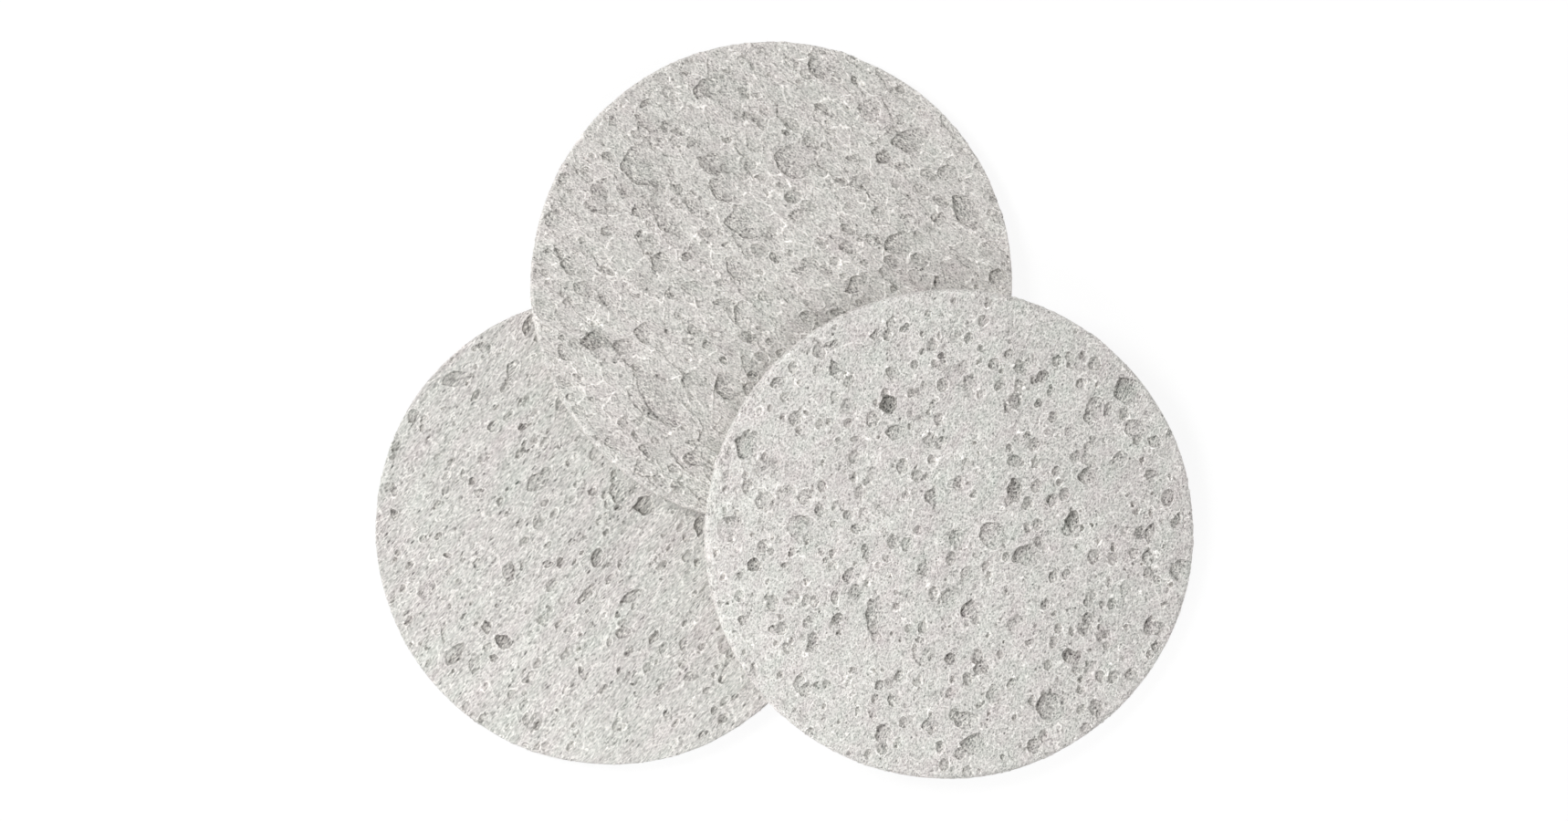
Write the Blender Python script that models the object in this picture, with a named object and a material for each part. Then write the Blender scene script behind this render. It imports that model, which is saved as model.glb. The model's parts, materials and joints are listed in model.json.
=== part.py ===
"""Three round cellulose sponge discs, dry and pressed flat, lying loosely on one another.

The bottom disc lies flat. The middle disc leans on its rim and on the surface beside it, and the
top disc leans on both. Lengths are in metres, +Z is up, and the origin is under the pile's middle.
"""

import math
import random
from dataclasses import dataclass, field

import bmesh
import bpy
import numpy as np
from mathutils import Matrix, Vector

MM = 0.001

# Sizes of the discs.
BOTTOM_DIAMETER = 73.2 * MM
MIDDLE_DIAMETER = 75.1 * MM
TOP_DIAMETER = 76.5 * MM
DISC_THICKNESS = 3.0 * MM
RIM_ROUNDING = 1.4 * MM
RIM_WALL = 0.1 * MM

# Where the centres lie in plan, seen from the bottom disc's centre.
MIDDLE_OFFSET_X = 25.2 * MM
MIDDLE_OFFSET_Y = 38.5 * MM
TOP_OFFSET_X = 52.8 * MM
TOP_OFFSET_Y = -0.7 * MM

# How closely one disc lies on the next.
SEAT_CLEARANCE = 0.3 * MM

# The pits are the sponge's larger pores, open at one face.
PIT_DEPTH_OF_WIDTH = 0.42
PIT_LIP = 0.12 * MM
PIT_SPACING = 0.7 * MM
WEB_BETWEEN_FACES = 0.8 * MM
SMALL_PIT_WIDEST = 2.8 * MM
SMALL_PIT_NARROWEST = 1.6 * MM
SMALL_PITS_ON_TOP = 14
SMALL_PITS_BELOW = 20
MARGIN_AT_RIM = 1.0 * MM
MIDDLE_PATCH_RADIUS = 2.0 * MM

# Fineness of the facets.
DISC_SIDES = 72
RIM_STEPS = 3
PIT_SIDES = 10
PIT_RINGS = 6

# How the resting pose is searched.
CONTACT_POINTS = 180
STEEPEST_SLOPE = 0.35
SEARCH_STEPS = 32

HALF_THICKNESS = DISC_THICKNESS / 2.0
RIM_RADIUS = min(RIM_ROUNDING, HALF_THICKNESS - RIM_WALL)
PIT_DEEPEST = (DISC_THICKNESS - WEB_BETWEEN_FACES) / 2.0
GOLDEN_RATIO = (math.sqrt(5.0) - 1.0) / 2.0


@dataclass
class Pit:
    """One large pore. Its place is in shares of the flat face's radius, its mouth is in mm."""

    across: float
    up: float
    length: float
    width: float
    turn: float = 0.0

    @property
    def reach(self):
        return max(self.length, self.width) * MM / 2.0

    def place_on(self, disc):
        """The pit's place from the disc's centre, with its whole mouth on the flat face."""
        room = disc.flat_radius - self.reach
        return Vector((self.across, self.up)) * room


@dataclass
class Disc:
    """One sponge disc: its size, colour and pits, and the pose that it comes to rest in."""

    name: str
    diameter: float
    plan: np.ndarray
    colour: tuple
    seed: int
    pits: list
    slope: np.ndarray = field(default_factory=lambda: np.zeros(2))
    height: float = HALF_THICKNESS

    @property
    def core_radius(self):
        """Radius of the circle that the rounded rim is drawn about."""
        return self.diameter / 2.0 - RIM_RADIUS

    @property
    def flat_radius(self):
        """Radius of the flat face that pits may open in."""
        return self.core_radius - MARGIN_AT_RIM


# The pits that stand out on each disc's upper face.
BOTTOM_PITS = [
    Pit(-0.35, 0.24, 4.4, 3.4, 45.0),
    Pit(0.16, 0.11, 3.4, 2.9, 0.0),
    Pit(-0.23, -0.15, 2.0, 1.9, 0.0),
    Pit(-0.10, -0.30, 3.6, 1.6, 48.0),
    Pit(-0.50, -0.53, 3.0, 2.1, -30.0),
    Pit(-0.75, -0.60, 4.4, 3.7, 60.0),
    Pit(0.06, -0.49, 2.4, 2.1, 0.0),
    Pit(0.53, -0.68, 3.0, 2.7, 0.0),
    Pit(-0.55, 0.50, 2.4, 1.9, 60.0),
    Pit(-0.86, 0.50, 2.0, 1.7, 80.0),
    Pit(-0.62, -0.42, 2.4, 2.0, 70.0),
    Pit(-0.09, -0.12, 3.6, 2.4, 70.0),
    Pit(0.43, 0.02, 4.0, 2.0, 75.0),
]
MIDDLE_PITS = [
    Pit(-0.28, 0.94, 5.7, 4.1, -20.0),
    Pit(0.21, 0.96, 3.6, 2.9, 60.0),
    Pit(-0.58, 0.79, 6.3, 2.6, -30.0),
    Pit(-0.25, 0.64, 6.7, 3.6, -20.0),
    Pit(-0.21, 0.44, 5.7, 3.8, -45.0),
    Pit(0.68, 0.71, 5.7, 4.1, 25.0),
    Pit(0.85, 0.51, 4.7, 3.6, 45.0),
    Pit(0.93, 0.30, 6.0, 3.8, -60.0),
    Pit(0.63, 0.19, 5.1, 4.4, -45.0),
    Pit(-0.48, 0.30, 7.1, 3.8, -35.0),
    Pit(-0.53, 0.10, 3.4, 3.1, 0.0),
    Pit(-0.93, 0.08, 4.1, 3.1, 20.0),
    Pit(-0.84, -0.27, 3.4, 3.0, 0.0),
    Pit(-0.20, -0.50, 5.1, 3.7, -50.0),
    Pit(0.13, 0.61, 6.3, 4.6, 0.0),
    Pit(-0.58, -0.23, 4.8, 3.4, -15.0),
    Pit(0.42, 0.49, 4.1, 3.1, 10.0),
    Pit(0.99, 0.04, 3.1, 2.6, 90.0),
]
TOP_PITS = [
    Pit(-0.27, 0.59, 3.1, 2.6, 25.0),
    Pit(-0.24, 0.46, 3.1, 2.4, 20.0),
    Pit(0.76, 0.62, 4.3, 3.8, 60.0),
    Pit(0.85, 0.47, 3.4, 3.0, 45.0),
    Pit(0.63, 0.28, 3.1, 2.6, 0.0),
    Pit(0.31, 0.20, 4.1, 2.3, -80.0),
    Pit(0.57, 0.04, 3.1, 2.6, 50.0),
    Pit(0.21, -0.01, 4.7, 4.1, 0.0),
    Pit(0.37, -0.12, 4.7, 3.6, 0.0),
    Pit(0.10, -0.35, 3.1, 2.9, 0.0),
    Pit(-0.36, -0.39, 6.7, 2.9, 75.0),
    Pit(-0.88, -0.14, 2.6, 2.1, 0.0),
    Pit(0.50, -0.82, 6.0, 4.4, -10.0),
    Pit(0.13, -0.97, 4.1, 3.4, 45.0),
    Pit(0.55, -0.56, 2.6, 2.0, 60.0),
    Pit(0.90, -0.41, 2.9, 2.4, 80.0),
    Pit(0.47, 0.14, 2.6, 2.0, -10.0),
    Pit(-0.02, -0.28, 3.1, 2.4, 60.0),
]

BOTTOM = Disc(
    name="bottom_sponge_disc",
    diameter=BOTTOM_DIAMETER,
    plan=np.zeros(2),
    colour=(0.645, 0.630, 0.600),
    seed=3,
    pits=BOTTOM_PITS,
)
MIDDLE = Disc(
    name="middle_sponge_disc",
    diameter=MIDDLE_DIAMETER,
    plan=np.array((MIDDLE_OFFSET_X, MIDDLE_OFFSET_Y)),
    colour=(0.584, 0.562, 0.533),
    seed=7,
    pits=MIDDLE_PITS,
)
TOP = Disc(
    name="top_sponge_disc",
    diameter=TOP_DIAMETER,
    plan=np.array((TOP_OFFSET_X, TOP_OFFSET_Y)),
    colour=(0.604, 0.588, 0.565),
    seed=11,
    pits=TOP_PITS,
)


def clear_scene():
    """Remove every object that the file opened with."""
    for thing in list(bpy.data.objects):
        bpy.data.objects.remove(thing, do_unlink=True)


def normal_of(slope):
    """Unit normal of a plane that rises by slope along X and Y."""
    normal = np.array((-slope[0], -slope[1], 1.0))
    return normal / np.linalg.norm(normal)


def rim_circle(disc, slope, side):
    """Points on the circle that the rim is drawn about, on the upper (1) or lower (-1) side."""
    normal = normal_of(slope)
    along = np.array((normal[2], 0.0, -normal[0]))
    along /= np.linalg.norm(along)
    across = np.cross(normal, along)
    turns = np.linspace(0.0, 2.0 * math.pi, CONTACT_POINTS, endpoint=False)[:, None]
    circle = disc.core_radius * (np.cos(turns) * along + np.sin(turns) * across)
    centre = np.array((*disc.plan, 0.0))
    return centre + circle + side * (HALF_THICKNESS - RIM_RADIUS) * normal


def lowest_clear_height(disc, slope, below):
    """Lowest centre height at which a disc of that slope clears the floor and those below it."""
    normal = normal_of(slope)
    lower_rim = rim_circle(disc, slope, -1)
    heights = [RIM_RADIUS - lower_rim[:, 2].min()]
    reach = HALF_THICKNESS + RIM_RADIUS + SEAT_CLEARANCE
    for other in below:
        other_normal = normal_of(other.slope)
        other_centre = np.array((*other.plan, other.height))
        over = np.linalg.norm(lower_rim[:, :2] - other.plan, axis=1) <= other.core_radius
        rise = (lower_rim[over] - other_centre) @ other_normal
        heights.extend((reach - rise) / other_normal[2])
        upper_rim = rim_circle(other, other.slope, 1) + np.array((0.0, 0.0, other.height))
        under = np.linalg.norm(upper_rim[:, :2] - disc.plan, axis=1) <= disc.core_radius
        drop = (np.array((*disc.plan, 0.0)) - upper_rim[under]) @ normal
        heights.extend((reach - drop) / normal[2])
    return max(heights)


def lowest_point_of(function, low, high):
    """Where a function with one dip is lowest between two values."""
    for _ in range(SEARCH_STEPS):
        span = (high - low) * GOLDEN_RATIO
        if function(high - span) < function(low + span):
            high = low + span
        else:
            low = high - span
    return (low + high) / 2.0


def settle(disc, below):
    """Lower a disc onto those below it: it rests at the slope where its centre is lowest."""

    def best_slope_y(slope_x):
        return lowest_point_of(
            lambda slope_y: lowest_clear_height(disc, (slope_x, slope_y), below),
            -STEEPEST_SLOPE,
            STEEPEST_SLOPE,
        )

    slope_x = lowest_point_of(
        lambda value: lowest_clear_height(disc, (value, best_slope_y(value)), below),
        -STEEPEST_SLOPE,
        STEEPEST_SLOPE,
    )
    disc.slope = np.array((slope_x, best_slope_y(slope_x)))
    disc.height = lowest_clear_height(disc, disc.slope, below)


def material_for(disc):
    """Dry cellulose: a matt warm grey."""
    material = bpy.data.materials.new(disc.name + "_cellulose")
    material.use_nodes = True
    shader = material.node_tree.nodes["Principled BSDF"]
    shader.inputs["Base Color"].default_value = (*disc.colour, 1.0)
    shader.inputs["Roughness"].default_value = 0.95
    shader.inputs["Metallic"].default_value = 0.0
    return material


def add_object(name, builder):
    """Turn a bmesh into an object of that name in the scene."""
    mesh = bpy.data.meshes.new(name)
    builder.to_mesh(mesh)
    builder.free()
    thing = bpy.data.objects.new(name, mesh)
    bpy.context.scene.collection.objects.link(thing)
    return thing


def add_disc_blank(disc):
    """The disc before its pits are cut: a short cylinder whose rims are rounded by a bevel."""
    builder = bmesh.new()
    bmesh.ops.create_cone(
        builder,
        cap_ends=True,
        segments=DISC_SIDES,
        radius1=disc.diameter / 2.0,
        radius2=disc.diameter / 2.0,
        depth=DISC_THICKNESS,
    )
    blank = add_object(disc.name, builder)
    blank.data.materials.append(material_for(disc))
    bevel = blank.modifiers.new("round_rim", "BEVEL")
    bevel.width = RIM_RADIUS
    bevel.segments = RIM_STEPS
    bevel.limit_method = "ANGLE"
    bevel.angle_limit = math.radians(60.0)
    return blank


def is_clear(disc, pit, taken):
    """Whether a pit misses the patch in the middle of the face and the pits already there."""
    place = pit.place_on(disc)
    if place.length - pit.reach < MIDDLE_PATCH_RADIUS:
        return False
    return all(
        (place - other.place_on(disc)).length > pit.reach + other.reach + PIT_SPACING
        for other in taken
    )


def small_pits(disc, side, wanted, taken):
    """Small round pits scattered over a face, between those already there."""
    scatter = random.Random(disc.seed + side)
    found = []
    while len(found) < wanted:
        width = scatter.uniform(SMALL_PIT_NARROWEST, SMALL_PIT_WIDEST) / MM
        share = math.sqrt(scatter.random())
        angle = scatter.uniform(0.0, 2.0 * math.pi)
        pit = Pit(share * math.cos(angle), share * math.sin(angle), width, width)
        if is_clear(disc, pit, taken + found):
            found.append(pit)
    return found


def pit_shape(disc, pit, side):
    """Matrix that makes a unit ball a pit's cutter, sunk into the upper (1) or lower (-1) face."""
    depth = min(PIT_DEPTH_OF_WIDTH * pit.width * MM, PIT_DEEPEST)
    place = Vector((*pit.place_on(disc), side * (HALF_THICKNESS + PIT_LIP)))
    turn = Matrix.Rotation(math.radians(pit.turn), 4, "Z")
    size = Matrix.Diagonal((pit.length * MM / 2.0, pit.width * MM / 2.0, depth + PIT_LIP, 1.0))
    return Matrix.Translation(place) @ turn @ size


def add_pit_cutter(disc, blank):
    """All of a disc's pits as one cutter that moves with the disc."""
    faces = {
        1: disc.pits + small_pits(disc, 1, SMALL_PITS_ON_TOP, disc.pits),
        -1: small_pits(disc, -1, SMALL_PITS_BELOW, []),
    }
    builder = bmesh.new()
    for side, pits in faces.items():
        for pit in pits:
            bmesh.ops.create_uvsphere(
                builder,
                u_segments=PIT_SIDES,
                v_segments=PIT_RINGS,
                radius=1.0,
                matrix=pit_shape(disc, pit, side),
            )
    cutter = add_object(disc.name + "_pit_cutter", builder)
    cutter.parent = blank
    cutter.hide_render = True
    cutter.display_type = "WIRE"
    cut = blank.modifiers.new("pits", "BOOLEAN")
    cut.operation = "DIFFERENCE"
    cut.solver = "EXACT"
    cut.use_self = True
    cut.object = cutter


def pose_of(disc, origin):
    """Where the settled disc lies, seen from the pile's origin."""
    upright = Vector((0.0, 0.0, 1.0))
    tilt = upright.rotation_difference(Vector(normal_of(disc.slope)))
    place = Vector((*(disc.plan - origin), disc.height))
    return Matrix.Translation(place) @ tilt.to_matrix().to_4x4()


def pile_middle(discs):
    """Middle of the pile's plan, from how far each settled disc reaches along X and Y."""
    lows = []
    highs = []
    for disc in discs:
        lean = np.abs(normal_of(disc.slope)[:2])
        rim_wall = (HALF_THICKNESS - RIM_RADIUS) * lean
        reach = disc.core_radius * np.sqrt(1.0 - lean**2) + rim_wall + RIM_RADIUS
        lows.append(disc.plan - reach)
        highs.append(disc.plan + reach)
    return (np.min(lows, axis=0) + np.max(highs, axis=0)) / 2.0


def build_pile():
    """Settle the discs one after another, then model each one where it lies."""
    settle(MIDDLE, [BOTTOM])
    settle(TOP, [BOTTOM, MIDDLE])
    discs = [BOTTOM, MIDDLE, TOP]
    origin = pile_middle(discs)
    for disc in discs:
        blank = add_disc_blank(disc)
        pose = pose_of(disc, origin)
        blank.matrix_world = pose
        add_pit_cutter(disc, blank)
        face_middle = np.array(pose @ Vector((0.0, 0.0, HALF_THICKNESS))).round(5)
        print(disc.name, "upper face at", face_middle, "facing", normal_of(disc.slope).round(5))


clear_scene()
build_pile()
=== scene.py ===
"""Looks of a loose pile of three round cellulose sponge discs, dry and pressed flat.

Each disc is one porous mesh. Its large pores are listed one by one, and a geometry node tree presses
in the smaller ones, the flattened cells between them and the grain of the cell walls. The material
draws what is finer than the mesh: the pores' rims and the ridges with painted highlights, the threads,
and the tiniest holes with painted shade. It also paints shade into the pores, the hollows and the
creases, and paints a light falloff and a rim light onto each disc.
"""

import json
import logging
import math
from dataclasses import astuple, dataclass, fields
from enum import Enum
from functools import reduce

import bpy
import numpy as np
from mathutils import Matrix, Vector


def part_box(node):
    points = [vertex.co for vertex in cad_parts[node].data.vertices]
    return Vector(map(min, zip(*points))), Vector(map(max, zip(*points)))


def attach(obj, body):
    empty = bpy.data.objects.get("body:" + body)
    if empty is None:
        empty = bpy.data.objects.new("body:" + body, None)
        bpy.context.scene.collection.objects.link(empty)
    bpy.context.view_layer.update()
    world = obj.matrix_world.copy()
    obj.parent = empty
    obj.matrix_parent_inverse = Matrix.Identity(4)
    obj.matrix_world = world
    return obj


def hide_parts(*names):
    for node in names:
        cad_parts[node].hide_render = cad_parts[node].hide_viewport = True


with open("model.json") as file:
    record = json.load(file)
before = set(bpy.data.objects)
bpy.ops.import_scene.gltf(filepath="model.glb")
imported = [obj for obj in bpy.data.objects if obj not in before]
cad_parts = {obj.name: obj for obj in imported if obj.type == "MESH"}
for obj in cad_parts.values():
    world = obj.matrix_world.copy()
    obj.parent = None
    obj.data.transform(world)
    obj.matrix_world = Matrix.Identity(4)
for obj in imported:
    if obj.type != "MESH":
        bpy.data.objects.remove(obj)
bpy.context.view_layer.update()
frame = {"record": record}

LOG = logging.getLogger("sponge_discs")

MM = 0.001
SOLID_ROUNDING = 1.4
WHITE = (1.0, 1.0, 1.0, 1.0)
FLOAT = "NodeSocketFloat"
VECTOR = "NodeSocketVector"
GEOMETRY = "NodeSocketGeometry"

# Ways from the nearest rim, in millimetres, that stand for no pore at all.
FAR_OFF = 9.0
FARTHEST = 99.0

Socket = bpy.types.NodeSocket
Outputs = bpy.types.bpy_prop_collection
Colour = tuple[float, float, float]
Pair = tuple[float, float]


@dataclass(frozen=True)
class Profile:
    """Cross-section of a listed pore, in millimetres and in shares of its width or depth."""

    wall: float
    depth: float
    deepest: float
    # Darkness of the painted shade on the pore's floor.
    shade: float
    # How much of the floor's painted shade gives way to painted light away from the deep side.
    fade: float
    tilt: float = 0.35
    lean: float = 0.3
    # Strength of the painted shadow in the corner on the deep side.
    corner: float = 0.6


class PoreForm(Enum):
    """Kinds of listed pores."""

    PIT = Profile(0.22, 0.19, 0.50, 0.64, 0.6)
    DEEP = Profile(0.22, 0.24, 0.65, 1.00, 0.35, tilt=0.25)
    VOID = Profile(0.25, 0.40, 1.20, 1.30, 0.0, tilt=0.2)
    SCOOP = Profile(0.25, 0.20, 0.60, 0.64, 0.75, tilt=0.6)
    DISH = Profile(0.32, 0.10, 0.34, 0.50, 0.8, tilt=0.45)
    FOLD = Profile(0.40, 0.13, 0.36, 0.54, 1.0, tilt=0.8, lean=0.5, corner=0.9)


@dataclass(frozen=True)
class Pore:
    """One listed pore, in pixels of the photograph and degrees."""

    x: float
    y: float
    length: float
    width: float
    turn: float = 0.0
    form: PoreForm = PoreForm.PIT
    deep_side: float = 155.0


@dataclass(frozen=True)
class Bubbles:
    """A crowd of pores, cut from bubbles that fill the sponge, in millimetres and degrees."""

    cell: float
    chance: float
    smallest: float
    largest: float
    deepest: float
    seed: float
    stretch: float = 1.0
    flatten: float = 0.8
    turn: float = 0.0
    # Darkness of the painted shade on the pores' floors.
    shade: float = 0.6


@dataclass(frozen=True)
class Folds:
    """Cells that pressing has laid over one another like scales, in millimetres and degrees."""

    cell: float
    stretch: float
    turn: float
    step: float
    ridge: float
    ridge_width: float
    deep_side: float
    wrinkles: float
    # Darkness of the painted shade in the creases and on the lowered floors.
    shade: float
    seed: float


@dataclass(frozen=True)
class Crumb:
    """The dense field of the tiniest pores, with thin walls between, in millimetres and degrees."""

    cell: float
    stretch: float
    turn: float
    depth: float
    seed: float


@dataclass(frozen=True)
class Grain:
    """The unevenness of the cell walls, from the swell of the face to its finest grain."""

    warp: float = 0.45
    warp_size: float = 1.6
    drift: float = 1.1
    drift_size: float = 3.2
    swell: float = 0.10
    swell_size: float = 14.0
    grain: float = 0.06
    grain_size: float = 0.55
    lip: float = 0.11
    rim_calm: float = 0.8
    deepest: float = 1.5


@dataclass(frozen=True)
class Texture:
    """Everything that sets one disc's surface apart from the next one's."""

    large: Bubbles
    medium: Bubbles
    small: Bubbles
    folds: Folds
    crumb: Crumb
    grain: Grain = Grain()

    def values(self) -> dict[str, float]:
        """Name the sizes as the surface tree's inputs are named.

        Returns:
            The value for each input.
        """
        found = {}
        for part in fields(self):
            for label, value in sizes_of(getattr(self, part.name)).items():
                found[f"{part.name.title()} {label}"] = value
        return found


@dataclass(frozen=True)
class Weave:
    """The finest structure of a cell wall: its parts' sizes in millimetres, and their shares.

    A pair holds the two values between which a mask rises from 0 to 1.
    """

    grain_fade: Pair = (0.34, 0.66)
    grain_share: float = 0.34
    grain_height: float = 0.4
    # The tiniest holes, darker in their middles: painted shade.
    hole_fade: Pair = (0.12, 0.6)
    hole_share: float = 0.32
    hole_height: float = 0.4
    thread_in_grains: float = 2.4
    thread_width: float = 0.034
    thread_share: float = 0.55
    long_thread: float = 1.6
    long_thread_width: float = 0.028
    patch: float = 2.7
    patch_fade: Pair = (0.42, 0.58)
    tint: float = 3.2
    mottle: float = 5.0
    # Tiny dark dots: painted shade in the tiniest holes.
    dot_spacing: float = 0.55
    dot_least: float = 0.11
    dot_spread: float = 0.24
    dot_core: float = 0.5
    dot_chance: Pair = (0.15, 0.8)
    dot_height: float = 0.8


@dataclass(frozen=True)
class Drawing:
    """How the material paints shade into the pores and highlights onto rims and ridges, in millimetres and
    shares.

    A pair holds the two values between which a part appears or ends. Ways from a pore's rim are
    negative inside the pore.
    """

    ragged: float = 0.55
    ragged_size: float = 0.45
    inside: Pair = (-0.10, 0.0)
    lip_start: Pair = (-0.04, 0.03)
    lip_end: Pair = (0.05, 0.14)
    lip_edge: Pair = (0.0, 0.6)
    break_size: float = 1.1
    break_fade: Pair = (0.42, 0.58)
    break_share: float = 0.8
    least_lip: float = 0.4
    ridge_start: Pair = (-0.1, 0.05)
    speckle_middle: float = 0.39
    speckle_strength: float = 2.0
    dark_contrast: float = 1.5
    light_height: float = 0.8
    bump_height: float = 0.12
    specular: float = 0.2


@dataclass(frozen=True)
class Finish:
    """Dry cellulose: its colours, how they vary and how rough it is, and the painted shade and light laid
    over them.
    """

    name: str
    crest: Colour
    # Colour of the painted shade in the pores, the hollows and the creases.
    pit: Colour
    stretch: float
    turn: float
    # Strength of the painted highlight on the ridges.
    ridges: float
    # Painted light falloff: how much darker each disc is painted per millimetre towards the way below, in
    # degrees.
    fall: float
    fall_way: float
    grain: float = 0.26
    speckle: float = 0.62
    # Strength of the tiny dark dots, painted shade in the tiniest holes.
    dots: float = 0.45
    thread: float = 0.22
    tint: float = 0.10
    mottle: float = 0.20
    # Strength of the painted highlights on the lips and ridges.
    edge: float = 0.66
    # Painted light along each disc's rim.
    rim_light: float = 0.0
    roughness: float = 0.95
    bump: float = 0.9


def labels(form: type) -> list[str]:
    """Name the sockets that carry a form's sizes, one for each field."""
    return [part.name.replace("_", " ").title() for part in fields(form)]


def sizes_of(form: object) -> dict[str, float]:
    """Pair a form's sizes with the names of the sockets that carry them."""
    return dict(zip(labels(type(form)), astuple(form)))


class Wiring:
    """Adds nodes to a tree and joins them. A value may be a plain number or another socket."""

    def __init__(self, tree: bpy.types.NodeTree) -> None:
        """Keep the tree that the nodes go into."""
        self.tree = tree

    def node(self, kind: str, **settings: object) -> bpy.types.Node:
        """Add a node.

        Args:
            kind: The node's type name.
            **settings: Properties to set on it.

        Returns:
            The new node.
        """
        made = self.tree.nodes.new(kind)
        for key, value in settings.items():
            setattr(made, key, value)
        return made

    def feed(self, sockets: Outputs, values: dict) -> None:
        """Set sockets to plain values, or link other sockets to them.

        Args:
            sockets: A node's inputs.
            values: A plain value or an output socket for each, by name or by number.
        """
        for key, value in values.items():
            if isinstance(value, Socket):
                self.tree.links.new(value, sockets[key])
            else:
                sockets[key].default_value = value

    def outputs_of(self, kind: str, values: dict, **settings: object) -> Outputs:
        """Add a node, feed its inputs and give all its outputs.

        Args:
            kind: The node's type name.
            values: What goes into its inputs, by name or by number.
            **settings: Properties to set on it.

        Returns:
            The node's outputs.
        """
        made = self.node(kind, **settings)
        self.feed(made.inputs, values)
        return made.outputs

    def math(self, operation: str, *values: object, clamp: bool = False) -> Socket:
        """Add a Math node, and hold its result between 0 and 1 if it is to be clamped."""
        values = dict(enumerate(values))
        return self.outputs_of("ShaderNodeMath", values, operation=operation, use_clamp=clamp)[0]

    def plus(self, *values: object) -> Socket:
        """Add up values, from the first to the last."""
        return reduce(lambda so_far, value: self.math("ADD", so_far, value), values)

    def times(self, *values: object) -> Socket:
        """Multiply values, from the first to the last."""
        return reduce(lambda so_far, value: self.math("MULTIPLY", so_far, value), values)

    def largest(self, *values: object) -> Socket:
        """Find the largest value."""
        return reduce(lambda so_far, value: self.math("MAXIMUM", so_far, value), values)

    def least(self, *values: object) -> Socket:
        """Find the least value."""
        return reduce(lambda so_far, value: self.math("MINIMUM", so_far, value), values)

    def minus(self, value: object, less: object) -> Socket:
        """Take one value from another."""
        return self.math("SUBTRACT", value, less)

    def rest(self, share: object) -> Socket:
        """Find what a share leaves of 1."""
        return self.minus(1.0, share)

    def over(self, value: object, by: object) -> Socket:
        """Divide one value by another."""
        return self.math("DIVIDE", value, by)

    def vector(self, operation: str, *values: object) -> Socket:
        """Add a Vector Math node, whose result is a value for a dot product."""
        made = self.outputs_of("ShaderNodeVectorMath", dict(enumerate(values)), operation=operation)
        return made["Value" if operation == "DOT_PRODUCT" else "Vector"]

    def scaled(self, vector: object, factor: object) -> Socket:
        """Multiply a vector by a value."""
        values = {"Vector": vector, "Scale": factor}
        return self.outputs_of("ShaderNodeVectorMath", values, operation="SCALE")["Vector"]

    def combine(self, *values: object) -> Socket:
        """Make a vector of three values."""
        return self.outputs_of("ShaderNodeCombineXYZ", dict(enumerate(values)))[0]

    def turned_back(self, vector: Socket, degrees: object) -> Socket:
        """Turn a vector about Z, against an angle."""
        values = {"Vector": vector, "Angle": self.math("RADIANS", degrees)}
        return self.outputs_of("ShaderNodeVectorRotate", values, rotation_type="Z_AXIS", invert=True)[0]

    def fade(self, value: object, start: object, end: object) -> Socket:
        """Rise smoothly from 0 at start to 1 at end."""
        values = {"Value": value, "From Min": start, "From Max": end}
        return self.outputs_of("ShaderNodeMapRange", values, interpolation_type="SMOOTHSTEP")["Result"]

    def noise(self, place: Socket, size: object, detail: float = 2.0, output: str = "Fac") -> Socket:
        """Add a noise texture.

        Args:
            place: Where it is read.
            size: Size of its blobs, in the place's unit.
            detail: How many finer layers it adds.
            output: "Fac" for a value or "Color" for three.

        Returns:
            The noise's socket, about 0.5.
        """
        values = {"Vector": place, "Scale": self.over(1.0, size), "Detail": detail}
        return self.outputs_of("ShaderNodeTexNoise", values)[output]

    def wave(self, place: Socket, size: object, detail: float = 2.0) -> Socket:
        """Make noise about zero."""
        return self.minus(self.noise(place, size, detail), 0.5)

    def thread(self, place: Socket, size: object, detail: float, width: float) -> Socket:
        """Draw thin lines, which run where a noise has its middle value."""
        return self.rest(self.fade(self.math("ABSOLUTE", self.wave(place, size, detail)), 0.0, width))

    def shift(self, place: Socket, size: object, detail: float, reach: object) -> Socket:
        """Shift a place by noise that reaches so far each way."""
        way = self.vector("SUBTRACT", self.noise(place, size, detail, "Color"), (0.5, 0.5, 0.5))
        return self.vector("ADD", place, self.scaled(self.scaled(way, 2.0), reach))

    def cells(self, place: Socket, feature: str = "F1", space: str = "3D") -> Outputs:
        """Add a Voronoi texture with cells of about one unit.

        Args:
            place: Where it is read.
            feature: What it measures.
            space: "3D" for cells like bubbles, or "2D" for cells whose walls stand upright.

        Returns:
            The texture's outputs.
        """
        settings = {"voronoi_dimensions": space, "feature": feature}
        return self.outputs_of("ShaderNodeTexVoronoi", {"Vector": place, "Scale": 1.0}, **settings)

    def chances(self, cells: Outputs) -> Outputs:
        """Split each cell's colour into three chances."""
        return self.outputs_of("ShaderNodeSeparateXYZ", {0: cells["Color"]})

    def cell_place(
        self, size: Outputs, flatten: object, seed_step: tuple[float, float, float]
    ) -> tuple[Socket, Socket]:
        """Find a place in a space where a layer's stretched and turned cells are one unit.

        Args:
            size: The layer's sizes.
            flatten: The cells' height over their width.
            seed_step: How far each step of the layer's seed shifts the space.

        Returns:
            The place, and the scale from millimetres to that space.
        """
        spans = (self.times(size["Cell"], size["Stretch"]), size["Cell"], self.times(size["Cell"], flatten))
        scale = self.combine(*(self.over(1.0, span) for span in spans))
        place = self.vector("MULTIPLY", self.turned_back(size["Position"], size["Turn"]), scale)
        return self.vector("ADD", place, self.scaled(seed_step, size["Seed"])), scale


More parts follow.
